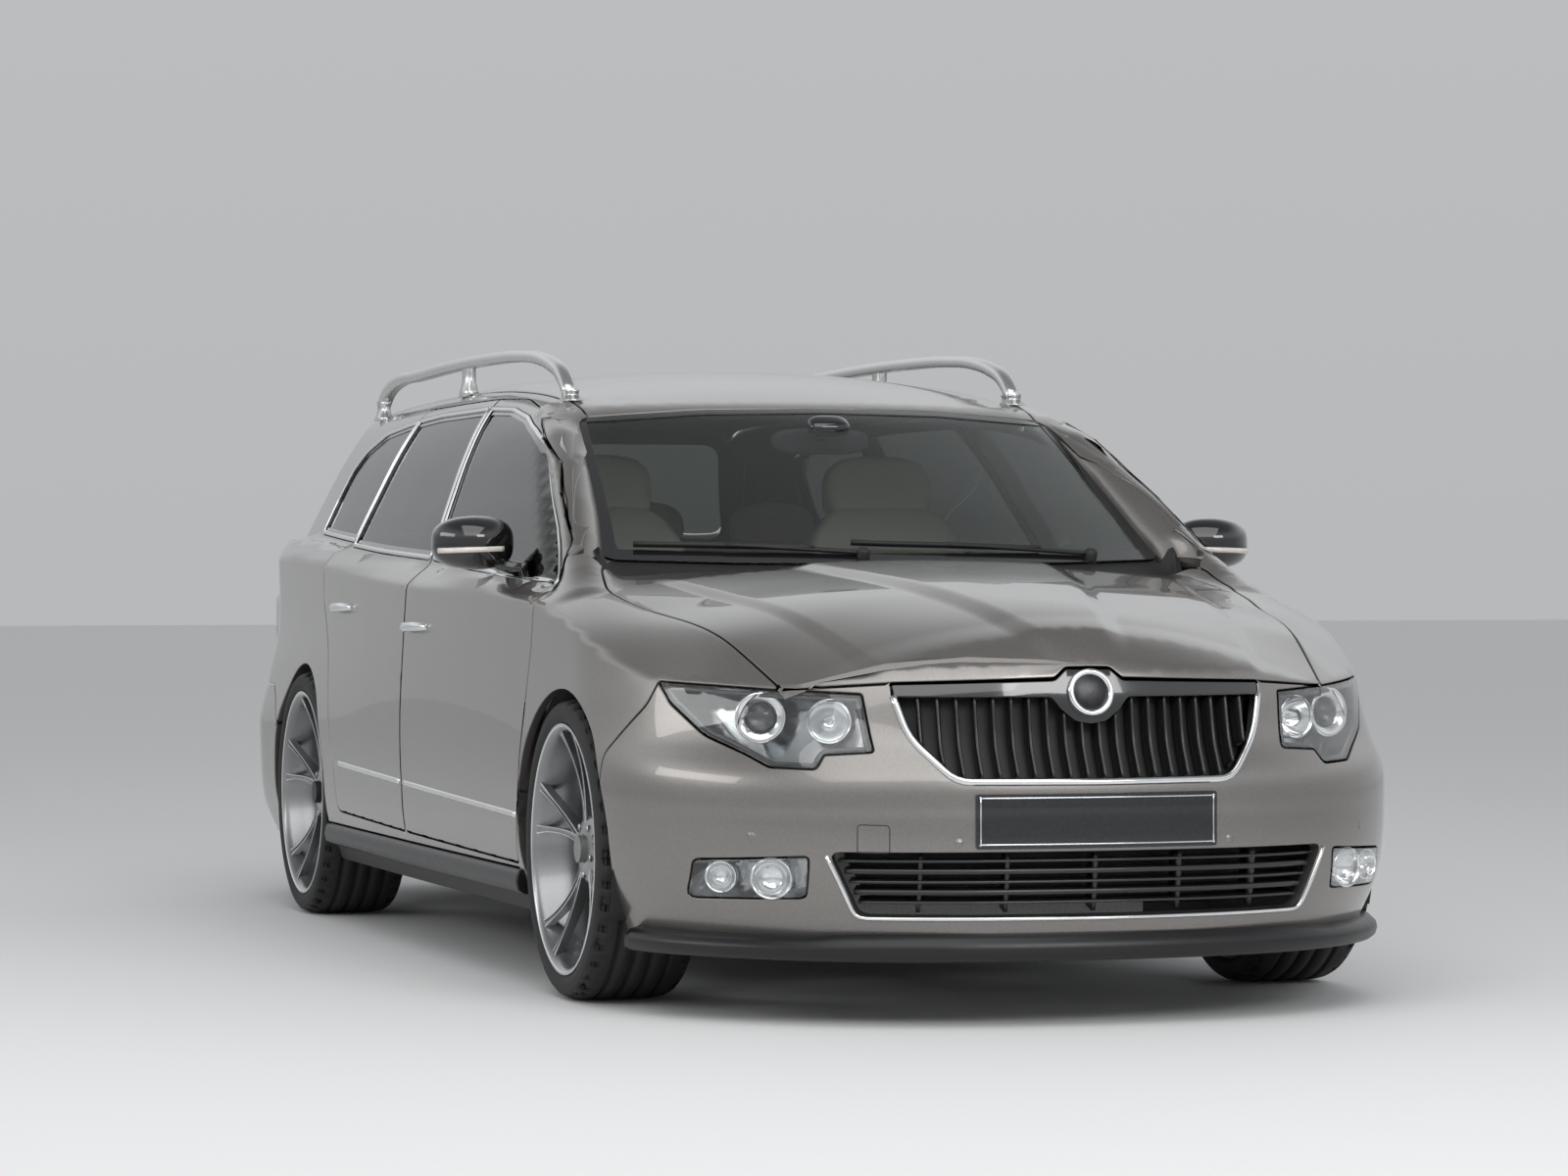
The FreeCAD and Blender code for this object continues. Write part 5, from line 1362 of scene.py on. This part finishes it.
def spoke_form(bm, turn, lean, side, centre):
    """One spoke: rows of six points from the hub to the rim, dished towards its middle."""
    rows = []
    for share in np.linspace(0, 1, 13):
        reach = 46 + share * 216
        dish = 62 + 44 * share**2.2
        wide = 21 - 9.5 * math.sin(share * math.pi * 0.72) + 9 * max(0, share - 0.8) / 0.2
        deep = 30 - 12 * share
        swing = turn + lean * (0.030 + 0.145 * share ** 0.9)
        along = np.array((math.cos(swing), 0, math.sin(swing)))
        across = np.array((-math.sin(swing), 0, math.cos(swing)))
        row = []
        for s, h in (
            (-1.0, 0), (-0.62, 0.5), (-0.5, -3.2), (0.5, -3.2), (0.62, 0.5), (1.0, 0), (0.85, -deep),
            (-0.85, -deep)
        ):
            spot = along * reach + across * (s * wide / 2) + np.array((0, side * (dish + h), 0))
            row.append(bm.verts.new((spot + np.array(centre)) / 1000))
        rows.append(row)
    for here, after in zip(rows[:-1], rows[1:]):
        for j in range(8):
            face = bm.faces.new((here[j], here[(j + 1) % 8], after[(j + 1) % 8], after[j]))
            face.material_index = 1 if j in (0, 4) else 0
    bm.faces.new(rows[0])
    bm.faces.new(rows[-1][::-1])


def rim_piece(name, centre, side, body, node):
    """A rim with its spokes, bolts and hub."""
    rim = wheel_mesh([(side * s, r) for s, r in RIM_PROFILE], centre, 96, True)
    for face in rim.faces:
        spot = face.calc_center_median() * 1000 - Vector(centre)
        if math.hypot(spot.x, spot.z) > 262 and side * spot.y > 90:
            face.material_index = 1
    hub = wheel_mesh(
        [
            (side * s, r) for s,
            r in (
                (64, 0.01), (65, 26), (63, 30), (66, 33), (66, 40), (62, 62), (54, 74), (20, 80), (20, 0.01)
            )
        ],
        centre, 60
    )
    for pair in range(5):
        turn = math.radians(90 + 72 * pair)
        for lean in (-1, 1):
            spoke_form(rim, turn, lean * 1.15, side, centre)
    for bolt in range(5):
        turn = math.radians(90 + 36 + 72 * bolt)
        at = np.array((56 * math.cos(turn), side * 58, 56 * math.sin(turn))) + centre
        bolt_mesh = turned_mesh("bolt", [(0.01, 10), (6, 10), (8.5, 8), (9, 0), (9, -4)], at, (0, side, 0), 6)
        rim.from_mesh(bolt_mesh)
        bpy.data.meshes.remove(bolt_mesh)
    bmesh.ops.recalc_face_normals(rim, faces=rim.faces)
    mesh = finished(rim, name)
    mesh.set_sharp_from_angle(angle=math.radians(32))
    put(name, mesh, [gunmetal, machined], body, [node])
    hub_mesh = finished(hub, name + "_hub")
    hub_mesh.set_sharp_from_angle(angle=math.radians(40))
    put(name + "_hub", hub_mesh, [gunmetal], body)


HALF_TRACK = 772.5
HANDS = (("left", 1), ("right", -1))
for place, x in (("front", FRONT_AXLE), ("rear", REAR_AXLE)):
    for hand, side in HANDS:
        centre = (x, side * HALF_TRACK, HUB_HEIGHT)
        body = f"wheel_{place}_{hand}"
        tyre_piece(f"tyre_{place}_{hand}_ring", centre, body, f"tyre_{place}_{hand}")
        rim_piece(f"rim_{place}_{hand}_casting", centre, side, body, f"rim_{place}_{hand}")
        disc = wheel_mesh(
            [(side * s, r) for s, r in ((20, 84), (20, 137), (18, 140), (8, 140), (6, 137), (6, 84))], centre,
            72, True
        )
        mesh = finished(disc, f"brake_disc_{place}_{hand}")
        mesh.set_sharp_from_angle(angle=math.radians(30))
        put(f"brake_disc_{place}_{hand}", mesh, [iron], body)

# ---- Mirrors ----
# Glossy black moulded shells on short feet at the doors' front corners.
# A slim lamp strip runs along the front, and the glass is set in behind.
MIRROR_POWER, MIRROR_BACK = 3.2, 722


def boxed(a, b, c, power):
    """A point of a ball pushed out towards a rounded box: the higher the power, the squarer."""
    reach = (abs(a) ** power + abs(b) ** power + abs(c) ** power) ** (1 / power)
    return a / reach, b / reach, c / reach


def mirror_front(a, b, c):
    """How far forward the mirror's shell reaches at a share of its depth, width and height."""
    depth = 132 - 26 * b * b - 30 * b * max(0, b)
    return MIRROR_BACK + 7 * b + depth * (0.5 + 0.5 * a) * (1 - 0.18 * c * c)


indicator = plain_finish("mirror_lamp_strip", (0.72, 0.66, 0.60), 0.12, coat=1.0, grain=60)
mirror_glass = plain_finish(
    "mirror_glass", (0.86, 0.88, 0.90), 0.03, metal=1.0, grain=10, vary=0.02, spread=0.01
)
for hand, side in HANDS:
    body = f"front_door_body_{hand}"
    shell = bmesh.new()
    bmesh.ops.create_uvsphere(shell, u_segments=48, v_segments=32, radius=1.0)
    for v in shell.verts:
        a, b, c = boxed(*v.co, MIRROR_POWER)
        out = 912 + 94 * b
        lift = 991 + 57 * c * (1 - 0.10 * max(0, b)) + (6 if c > 0 else -4) * (1 - b * b)
        front = MIRROR_BACK + 7 * b if a < -0.55 else mirror_front(a, b, c)
        v.co = (front / 1000, side * out / 1000, lift / 1000)
    bmesh.ops.remove_doubles(shell, verts=shell.verts, dist=1e-5)
    bmesh.ops.recalc_face_normals(shell, faces=shell.faces)
    mesh = finished(shell, f"mirror_shell_{hand}")
    mesh.set_sharp_from_angle(angle=math.radians(50))
    put(f"mirror_shell_{hand}", mesh, [black_gloss], body, [f"mirror_{hand}"])
    foot_path = np.array(((792.0, 862, 945), (800, 836, 936), (812, 806, 930), (824, 772, 929)))
    foot_shape = [
        [(-w, -t), (-w, t), (0, t + 3), (w, t), (w, -t), (0, -t - 3)] for w,
        t in ((20, 12), (22, 12), (28, 14), (38, 20))
    ]
    put(
        f"mirror_foot_{hand}",
        swept("foot", foot_path, foot_shape, np.tile((0, 0, 1.0), (4, 1)), flip=side < 0), [black_gloss], body
    )
    strip_path = []
    for b in np.linspace(-0.62, 0.93, 18):
        a = (1 - abs(b) ** MIRROR_POWER) ** (1 / MIRROR_POWER)
        strip_path.append((mirror_front(a, b, 0) + 0.6, 912 + 94 * b, 976 - 3 * b))
    strip_path = np.array(strip_path)
    ahead = np.gradient(strip_path, axis=0)
    outs = np.cross(ahead, (0, 0, 1.0))
    outs /= np.linalg.norm(outs, axis=1, keepdims=True)
    put(
        f"mirror_strip_{hand}",
        swept("strip", strip_path, ((-6, -6), (-6, 1.2), (0, 2.4), (6, 1.2), (6, -6)), outs, flip=side < 0),
        [indicator], body
    )
    pane = bmesh.new()
    bmesh.ops.create_circle(pane, cap_ends=True, segments=40, radius=1.0)
    for v in pane.verts:
        a, b, _ = boxed(v.co.x, v.co.y, 0, 3.6)
        v.co = ((720.5 + 7 * a) / 1000, side * (914 + 80 * a) / 1000, (992 + 46 * b) / 1000)
    bmesh.ops.recalc_face_normals(pane, faces=pane.faces)
    mesh = finished(pane, f"mirror_pane_{hand}", False)
    put(f"mirror_pane_{hand}", mesh, [mirror_glass], body)

# ---- Roof rails ----
# Satin alloy bars that arch up from the front foot and come down at the rear, bolted to the roof.
# A smaller foot stands between them.
satin = plain_finish("satin_alloy", (0.70, 0.70, 0.70), 0.28, metal=1.0, grain=300, vary=0.05)
RAIL_POINTS = (
    (340, 1350), (318, 1372), (270, 1404), (190, 1428), (60, 1449), (-120, 1460), (-500, 1466), (-900, 1463),
    (-1300, 1453), (-1500, 1449), (-1610, 1434), (-1680, 1412), (-1720, 1388)
)


def smooth_path(points, count):
    """A smooth line through points, with evenly spread samples."""
    points = np.array(points, float)
    lengths = lengths_along(points)
    table = np.column_stack((lengths, points))
    at = np.linspace(0, lengths[-1], count)
    return np.stack([column(table, at, k + 1) for k in range(points.shape[1])], 1)


rail_line = smooth_path([(x, 560 + 6 * min(1, max(0, (x + 1700) / 1500)), z) for x, z in RAIL_POINTS], 90)
ahead = np.gradient(rail_line, axis=0)
rail_out = np.cross(ahead, (0, 1.0, 0))
rail_out *= np.sign(rail_out[:, 2:3])
rail_out /= np.linalg.norm(rail_out, axis=1, keepdims=True)
rail_shape = ((-16, -15), (-19, -2), (-17, 9), (-8, 14), (8, 14), (17, 9), (19, -2), (16, -15))
for hand, side in HANDS:
    names = ["roof_rails"] if side > 0 else []
    rail = swept("rail", rail_line, rail_shape, rail_out, flip=side < 0)
    put(f"roof_rail_{hand}", rail, [satin], "car_body", names)
    for number, (x, half) in enumerate(((330.0, 44), (-700.0, 34), (-1706.0, 40))):
        ground = spot_on(TOP, x, 563.0)
        high = np.interp(-x, -rail_line[:, 0], rail_line[:, 2])
        path = np.array([(x, 563.0, h) for h in np.linspace(ground[2] - 4, max(high, ground[2] + 8), 6)])
        shape = [
            [(w * a, d * b) for a, b in ((-1, -1), (-1, 1), (1, 1), (1, -1))] for w,
            d in (
                (half + 8, 19), (half, 16), (half * 0.8, 13), (half * 0.75, 12), (half * 0.8, 12),
                (half * 0.9, 13)
            )
        ]
        put(
            f"rail_foot_{number}_{hand}",
            swept("foot", path, shape, np.tile((0.0, 1.0, 0.0), (6, 1)), flip=side < 0), [satin], "car_body"
        )

# ---- Door handles and side strips ----
# Bright bow handles that stand off the doors on their two ends, with no recess behind them.
# A thin bright strip lies low on each door.
HANDLE_SECTION = ((-1, -0.6), (-0.8, 0.4), (0, 1), (0.8, 0.4), (1, -0.6), (0, -1))
for place, x, z in (("front", 142.0, 789.0), ("rear", -772.0, 828.0)):
    along = np.linspace(-112, 112, 25)
    line = SIDE.lay(np.stack((x + along, z + 0.02 * along), 1))
    stand = 27 * (1 - (np.abs(along) / 112) ** 3.5)
    path = line + facing(line) * (stand[:, None] - 1)
    width = 12.5 - 4.5 * (np.abs(along) / 112) ** 4
    shape = [[(w * a, 6 * b) for a, b in HANDLE_SECTION] for w in width]
    strip_x = np.linspace(1122, 22, 60) if place == "front" else np.linspace(-18, -742, 50)
    strip_line = SIDE.lay(np.stack((strip_x, 383 + (1130 - strip_x) * 0.0225), 1))
    for hand, side in HANDS:
        body = f"{place}_door_body_{hand}"
        put(
            f"{place}_handle_{hand}", swept("handle", path, shape, facing(line), flip=side < 0), [chrome],
            body
        )
        put(f"{place}_strip_{hand}", beading("strip", strip_line, 14, 4, False, side < 0), [chrome], body)

# ---- Seats ----
# Foam seats under cream leather: cushions, backrests with side rolls, and separate headrests on two posts.
# A rear bench of the same make runs across behind them.
leather = plain_finish("cream_leather", (0.70, 0.63, 0.54), 0.5, grain=260, vary=0.06, bump=0.0002)
dark_trim = plain_finish("dark_moulded_trim", (0.045, 0.045, 0.046), 0.6, grain=700, vary=0.15, bump=0.0003)


def pad_mesh(name, centre, half, lean=0.0, power=3.4, crown=0.0, waist=0.0, roll=0.0):
    """A padded block: a ball pressed into a rounded box, crowned on top, with rolls at its sides."""
    pad = bmesh.new()
    bmesh.ops.create_uvsphere(pad, u_segments=48, v_segments=32, radius=1.0)
    for v in pad.verts:
        a, b, c = boxed(*v.co, power)
        wide = 1 - waist * c * c
        thick = 1 + roll * (abs(b) ** 3 - 0.35)
        v.co = (a * half[0] * thick, b * half[1] * wide, c * half[2] + crown * (1 - b * b))
    bmesh.ops.remove_doubles(pad, verts=pad.verts, dist=1e-4)
    bmesh.ops.rotate(pad, verts=pad.verts, cent=(0, 0, 0), matrix=Matrix.Rotation(math.radians(lean), 3, "Y"))
    bmesh.ops.translate(pad, vec=centre, verts=pad.verts)
    bmesh.ops.scale(pad, vec=(0.001, 0.001, 0.001), verts=pad.verts)
    bmesh.ops.recalc_face_normals(pad, faces=pad.faces)
    return finished(pad, name)


def seat_base(size, at):
    """The dark frame under a seat: a box with rounded edges, in metres."""
    base = bmesh.new()
    bmesh.ops.create_cube(base, size=1.0)
    bmesh.ops.scale(base, vec=size, verts=base.verts)
    bmesh.ops.bevel(
        base, geom=base.edges[:], offset=0.02, segments=3, affect="EDGES", profile=0.5, material=-1
    )
    bmesh.ops.translate(base, vec=at, verts=base.verts)
    return finished(base, "base")


for hand, side in HANDS:
    y = side * 370
    names = ["front_seats"] if side > 0 else []
    for name, centre, half, lean, crown, waist, roll in (
        (f"seat_cushion_{hand}", (210, y, 395), (255, 236, 82), -6, 10, 0.0, 0.5),
        (f"seat_back_{hand}", (-50, y, 755), (68, 236, 330), -14, 12, 0.20, 0.7),
        (f"headrest_{hand}", (-148, y, 1120), (48, 138, 84), -12, 8, 0.10, 0.25),
    ):
        pad = put(
            name, pad_mesh(name, centre, half, lean, 4.6, crown, waist, roll), [leather], "car_body",
            names if "back" in name else ()
        )
    put(
        f"seat_frame_{hand}", seat_base((0.44, 0.40, 0.145), (0.20, y / 1000, 0.262)), [dark_trim], "car_body"
    )
    for off in (-55, 55):
        post = turned_mesh(
            "post", [(0.01, -90), (6.5, -90), (6.5, 60), (0.01, 60)], np.array((-146.0, y + off, 1060)),
            (-0.25, 0, 0.97), 16
        )
        put(f"headrest_post_{hand}_{'in' if off * side < 0 else 'out'}", post, [satin], "car_body")
for name, centre, half, lean, crown, waist, roll in (
    ("bench_cushion", (-700, 0, 430), (250, 600, 78), -5, 8, 0.0, 0.2),
    ("bench_back", (-965, 0, 735), (66, 610, 262), -18, 10, 0.06, 0.25),
):
    pad = put(
        name, pad_mesh(name, centre, half, lean, 4.5, crown, waist, roll), [leather], "car_body",
        ["rear_bench"] if name == "bench_back" else ()
    )
for number, y in enumerate((-370, 0, 370)):
    pad = put(
        f"rear_headrest_{number}", pad_mesh("pad", (-1052, y, 1040), (40, 118, 62), -16, 3.4, 6, 0.1, 0.2),
        [leather], "car_body"
    )
    post = turned_mesh(
        "post", [(0.01, -70), (6.5, -70), (6.5, 50), (0.01, 50)], np.array((-1046.0, y, 990)),
        (-0.28, 0, 0.96), 16
    )
    put(f"rear_headrest_post_{number}", post, [satin], "car_body")
put("bench_frame", seat_base((0.46, 1.16, 0.16), (-0.71, 0, 0.325)), [dark_trim], "car_body")

# ---- Steering wheel ----
# A dark moulded rim on three spokes round a boss, on its column.
# It is tilted towards the driver and doesn't turn.
tilt = math.radians(65)
wheel_at = np.array((640.0, 370.0, 800.0))
wheel_way = np.array((-math.sin(tilt), 0, math.cos(tilt)))
rim_section = [(177 + 15 * math.cos(t), 16 * math.sin(t)) for t in np.linspace(0, 2 * math.pi, 17)]
put(
    "steering_rim", turned_mesh("rim", rim_section, wheel_at, wheel_way, 64), [dark_trim], "car_body",
    ["steering_wheel"]
)
put(
    "steering_boss",
    turned_mesh(
        "boss", [(0.01, 14), (40, 12), (58, 4), (64, -14), (50, -30), (32, -60), (30, -150), (0.01, -150)],
        wheel_at - wheel_way * 10, wheel_way, 48
    ),
    [dark_trim], "car_body"
)
for number, turn in enumerate((0, 180, 270)):
    away = math.radians(turn)
    across = np.array((0, 1.0, 0))
    up = np.cross(wheel_way, across)
    way = across * math.cos(away) + up * math.sin(away)
    path = np.array([wheel_at + way * r - wheel_way * (10 - r * 0.04) for r in np.linspace(40, 172, 8)])
    put(
        f"steering_spoke_{number}",
        swept("spoke", path, ((-20, -5), (-14, 4), (14, 4), (20, -5)), np.tile(wheel_way, (8, 1))),
        [dark_trim], "car_body"
    )

# ---- Mirror foot at the windscreen ----
# A small black pod at the top middle of the windscreen, bonded to the glass.
# The inside mirror hangs below it on a short arm.
pod_at = spot_on(CABIN_FRONT, 0.0, 1268.0)
put("sensor_pod", pad_mesh("pod", pod_at - (26, 0, 0), (24, 52, 30), -60, 3.0), [black_gloss], "car_body")
put("inside_mirror", pad_mesh("mirror", pod_at - (95, 0, 34), (13, 122, 32), 8, 3.2), [dark_trim], "car_body")
arm = np.array([pod_at - (30 + k * 9, 0, 4 + k * 4) for k in range(8)])
put(
    "mirror_arm", swept("arm", arm, ((-9, -7), (-9, 7), (9, 7), (9, -7)), np.tile((0, 0, 1.0), (8, 1))),
    [dark_trim], "car_body"
)

# ---- Wipers ----
# Two flat black arms on pivots in the cowl.
# Their rubber blades rest at the foot of the windscreen.
for number, (root_y, tip_y) in enumerate(((480, -110), (-90, -600))):
    share = np.linspace(0, 1, 24)
    y = root_y + (tip_y - root_y) * share
    high = 968 + 16 * share - 10 * (np.abs(y) / 640) ** 2 + 6 * np.abs(y / 640)
    line = CABIN_FRONT.lay(np.stack((y, high), 1))
    away = facing(line, cabin_gap)
    blade = line + away * 9
    put(
        f"wiper_blade_{number}",
        swept(
            "blade", blade[5:], ((-8, 3), (0, 7), (8, 3), (3, -5), (1.2, -8), (-1.2, -8), (-3, -5)), away[5:]
        ),
        [rubber], "car_body"
    )
    arm_line = line[:15] + away[:15] * (17 - 2 * share[:15, None] * 4) - np.stack(
        (0 * share[:15], 0 * share[:15], 14 * (1 - share[:15] * 1.6)), 1
    )
    put(
        f"wiper_arm_{number}", swept("arm", arm_line, ((-7, -3), (-5, 4), (5, 4), (7, -3)), away[:15]),
        [rubber], "car_body"
    )
    put(
        f"wiper_pivot_{number}",
        turned_mesh(
            "pivot", [(16, -22), (15, 10), (10, 15), (0.01, 16)], arm_line[0] + (2, 0, -4), (0.4, 0, 0.9), 24
        ),
        [rubber], "car_body"
    )

# ---- Tail lamps ----
# Red moulded covers over bright bowls, wrapped round the rear corners.
# They are set in openings of the body sides; their shape is a guess.
red_glass = tinted_glass("red_lamp_cover", (0.62, 0.012, 0.012))
TAIL_VIEW = Flat((-0.72, 0.68, 0.10), (0.68, 0.72, 0))
tail_cover = cut_sheet(TAIL_VIEW, tail_lamp_edge, step=20)
for side, flip, names in both_sides("tail_lamps"):
    put(
        f"tail_lamp_cover_{side}", shell_mesh("cover", *tail_cover, 3, 2.0, 1.5, 0.0, flip),
        [red_glass, red_glass], "car_body", names
    )
    put(
        f"tail_lamp_bowl_{side}", bowl_mesh("bowl", *tail_cover, 5, 34, 2.5, 6.0, flip), [reflector],
        "car_body"
    )

# ---- Tailgate fittings ----
# A bright handle bar, a blank plate, a rear wiper and its hub on the tailgate.
# Red reflectors and a black foot lie low on the bumper; all are guesses.
bar_line = level_line(REAR, -330, 330, 842.0, 40)
put("tailgate_bar", beading("bar", bar_line, 30, 11, False), [chrome], "tailgate_body")
board_edge = drawn(REAR, mirrored(((262, 700, 10), (262, 812, 10))))
board_sheet = cut_sheet(REAR, board_edge, step=30)
put(
    "rear_plate", shell_mesh("plate", *board_sheet, 8, 0.0, 2.0, -6.0), [plate_black, plate_black],
    "tailgate_body"
)
rear_wiper = REAR.lay(np.stack((np.linspace(20, 330, 20), np.linspace(1052, 1060, 20)), 1))
put(
    "rear_wiper",
    swept(
        "wiper", rear_wiper + facing(rear_wiper) * 12,
        ((-7, -3), (-4, 6), (4, 6), (7, -3), (1.5, -12), (-1.5, -12))
    ),
    [rubber], "tailgate_body"
)
put(
    "rear_wiper_hub",
    turned_mesh(
        "hub", [(20, -14), (18, 10), (10, 16), (0.01, 17)], rear_wiper[0], facing(rear_wiper[:1])[0], 28
    ),
    [black_gloss], "tailgate_body"
)
reflector_line = level_line(REAR_ROUND, 640, 800, 372.0, 16)
for side in ("left", "right"):
    put(
        f"bumper_reflector_{side}", beading("reflector", reflector_line, 34, 3, False, side == "right"),
        [red_glass], "car_body"
    )
foot_across = np.linspace(-610, 610, 70)
foot_top = np.stack((foot_across, 292 - 0.00006 * foot_across**2), 1)
foot_low = np.stack((foot_across[::-1], np.full(70, 200.0)), 1)
foot_edge = REAR_ROUND.lay(np.concatenate((foot_top, foot_low)))
foot_sheet = cut_sheet(REAR_ROUND, foot_edge, step=30)
put("rear_bumper_foot", shell_mesh("foot", *foot_sheet, 9, 0.0, 3.0, -3.0), [satin_black], "car_body")

# ---- Underneath and inside ----
# Felt liners spun over each wheel, in place of the solid ones.
# The other solids that stay from the CAD part get the finish of each: floor, axles, exhaust, engine.
cast_metal = plain_finish(
    "cast_alloy", (0.34, 0.34, 0.335), 0.5, metal=0.9, grain=180, vary=0.15, bump=0.0005
)
black_steel = plain_finish(
    "black_steel", (0.03, 0.03, 0.031), 0.5, metal=0.3, grain=160, vary=0.2, bump=0.0003
)
pipe_steel = plain_finish("exhaust_steel", (0.42, 0.40, 0.38), 0.38, metal=1.0, grain=60, vary=0.14)
liner_felt = plain_finish("liner_felt", (0.018, 0.018, 0.018), 0.92, grain=900, vary=0.3, bump=0.0008)
LINER_RADIUS, LINER_START = 0.354, math.radians(-22)
liner_x, liner_z = LINER_RADIUS * math.cos(LINER_START), LINER_RADIUS * math.sin(LINER_START)
for place, x, inner, outer in (("front", FRONT_AXLE, 485.0, 868.0), ("rear", REAR_AXLE, 590.0, 852.0)):
    for hand, side in HANDS:
        liner = bmesh.new()
        corners = [liner.verts.new((liner_x, side * y / 1000, liner_z)) for y in np.linspace(inner, outer, 6)]
        strips = [liner.edges.new(pair) for pair in zip(corners[:-1], corners[1:])]
        bmesh.ops.spin(
            liner, geom=corners + strips, cent=(0, 0, 0), axis=(0, -1, 0), angle=math.radians(224), steps=56
        )
        bmesh.ops.remove_doubles(liner, verts=liner.verts, dist=1e-6)
        bmesh.ops.recalc_face_normals(liner, faces=liner.faces)
        bmesh.ops.solidify(liner, geom=liner.faces[:], thickness=0.004)
        bmesh.ops.recalc_face_normals(liner, faces=liner.faces)
        bmesh.ops.translate(liner, vec=(x / 1000, 0, HUB_HEIGHT / 1000), verts=liner.verts)
        names = ["wheel_liners"] if place == "front" and side > 0 else []
        put(
            f"wheel_liner_{place}_{hand}", finished(liner, "liner"), [liner_felt], "car_body", names,
        )
for node, finish in (
    ("floor_pan", under_body), ("bulkhead", under_body), (
        "front_subframe", black_steel
    ), ("knuckle_left", cast_metal),
    (
        "knuckle_right", cast_metal
    ), ("rear_axle", black_steel), ("exhaust", pipe_steel), ("engine_block", cast_metal),
    ("dashboard", dark_trim),
):
    solid = bpy.data.objects[node]
    solid.data.materials.clear()
    solid.data.materials.append(finish)
    for face in solid.data.polygons:
        face.material_index = 0

# ---- Studio ----
# A plain pale floor, a soft sky that darkens upwards and three soft lamps.
# The camera is the one that was solved from the photograph.
floor_mesh = bpy.data.meshes.new("floor")
ground = bmesh.new()
bmesh.ops.create_grid(ground, x_segments=2, y_segments=2, size=60.0)
ground.to_mesh(floor_mesh)
ground.free()
floor = bpy.data.objects.new("floor", floor_mesh)
bpy.context.collection.objects.link(floor)
floor_finish = bpy.data.materials.new("studio_floor")
nodes, links, surface = shader(floor_finish)
surface.inputs["Base Color"].default_value = (0.80, 0.80, 0.80, 1)
surface.inputs["Roughness"].default_value = 0.75
floor_mesh.materials.append(floor_finish)

world = bpy.data.worlds.new("studio")
bpy.context.scene.world = world
world.use_nodes = True
sky = world.node_tree.nodes["Background"]
sky_place = world.node_tree.nodes.new("ShaderNodeTexCoord")
sky_split = world.node_tree.nodes.new("ShaderNodeSeparateXYZ")
sky_ramp = world.node_tree.nodes.new("ShaderNodeValToRGB")
for place, level in ((0.12, 0.60), (0.36, 1.0), (0.55, 0.85), (0.80, 0.32)):
    stop = sky_ramp.color_ramp.elements.new(place)
    stop.color = (level * 0.98, level, level * 1.02, 1)
sky_ramp.color_ramp.elements[0].color = (0.56, 0.57, 0.58, 1)
sky_ramp.color_ramp.elements[-1].color = (0.25, 0.26, 0.27, 1)
world.node_tree.links.new(sky_place.outputs["Generated"], sky_split.inputs["Vector"])
world.node_tree.links.new(sky_split.outputs["Z"], sky_ramp.inputs["Fac"])
world.node_tree.links.new(sky_ramp.outputs["Color"], sky.inputs["Color"])
sky.inputs["Strength"].default_value = 0.85


def soft_lamp(name, at, aim, width, height, power):
    """A soft rectangular lamp of the studio, aimed at a point."""
    light = bpy.data.lights.new(name, "AREA")
    light.shape = "RECTANGLE"
    light.size, light.size_y, light.energy = width, height, power
    lamp = bpy.data.objects.new(name, light)
    bpy.context.collection.objects.link(lamp)
    lamp.location = at
    lamp.rotation_mode = "QUATERNION"
    lamp.rotation_quaternion = (Vector(aim) - Vector(at)).to_track_quat("-Z", "Y")


soft_lamp("overhead", (5.2, -1.5, 6.5), (1.0, 0, 0), 7.0, 8.0, 290)
soft_lamp("front_fill", (9.5, 2.0, 4.5), (1.5, 0, 0.6), 3.5, 2.0, 130)
soft_lamp("side_fill", (1.0, -8.0, 3.5), (0, 0, 0.6), 5.0, 1.5, 70)

lens = bpy.data.cameras.new("camera")
camera = bpy.data.objects.new("camera", lens)
bpy.context.collection.objects.link(camera)
lens.lens = 113.28
lens.sensor_width = 36.0
lens.clip_end = 200.0
camera.location = (11.814, -3.601, 0.951)
yaw, pitch = math.radians(17.298), math.radians(-0.320)
aim = Vector((-math.cos(yaw) * math.cos(pitch), math.sin(yaw) * math.cos(pitch), math.sin(pitch)))
camera.rotation_mode = "QUATERNION"
camera.rotation_quaternion = aim.to_track_quat("-Z", "Y")
bpy.context.scene.camera = camera
bpy.context.scene.view_settings.view_transform = "Standard"
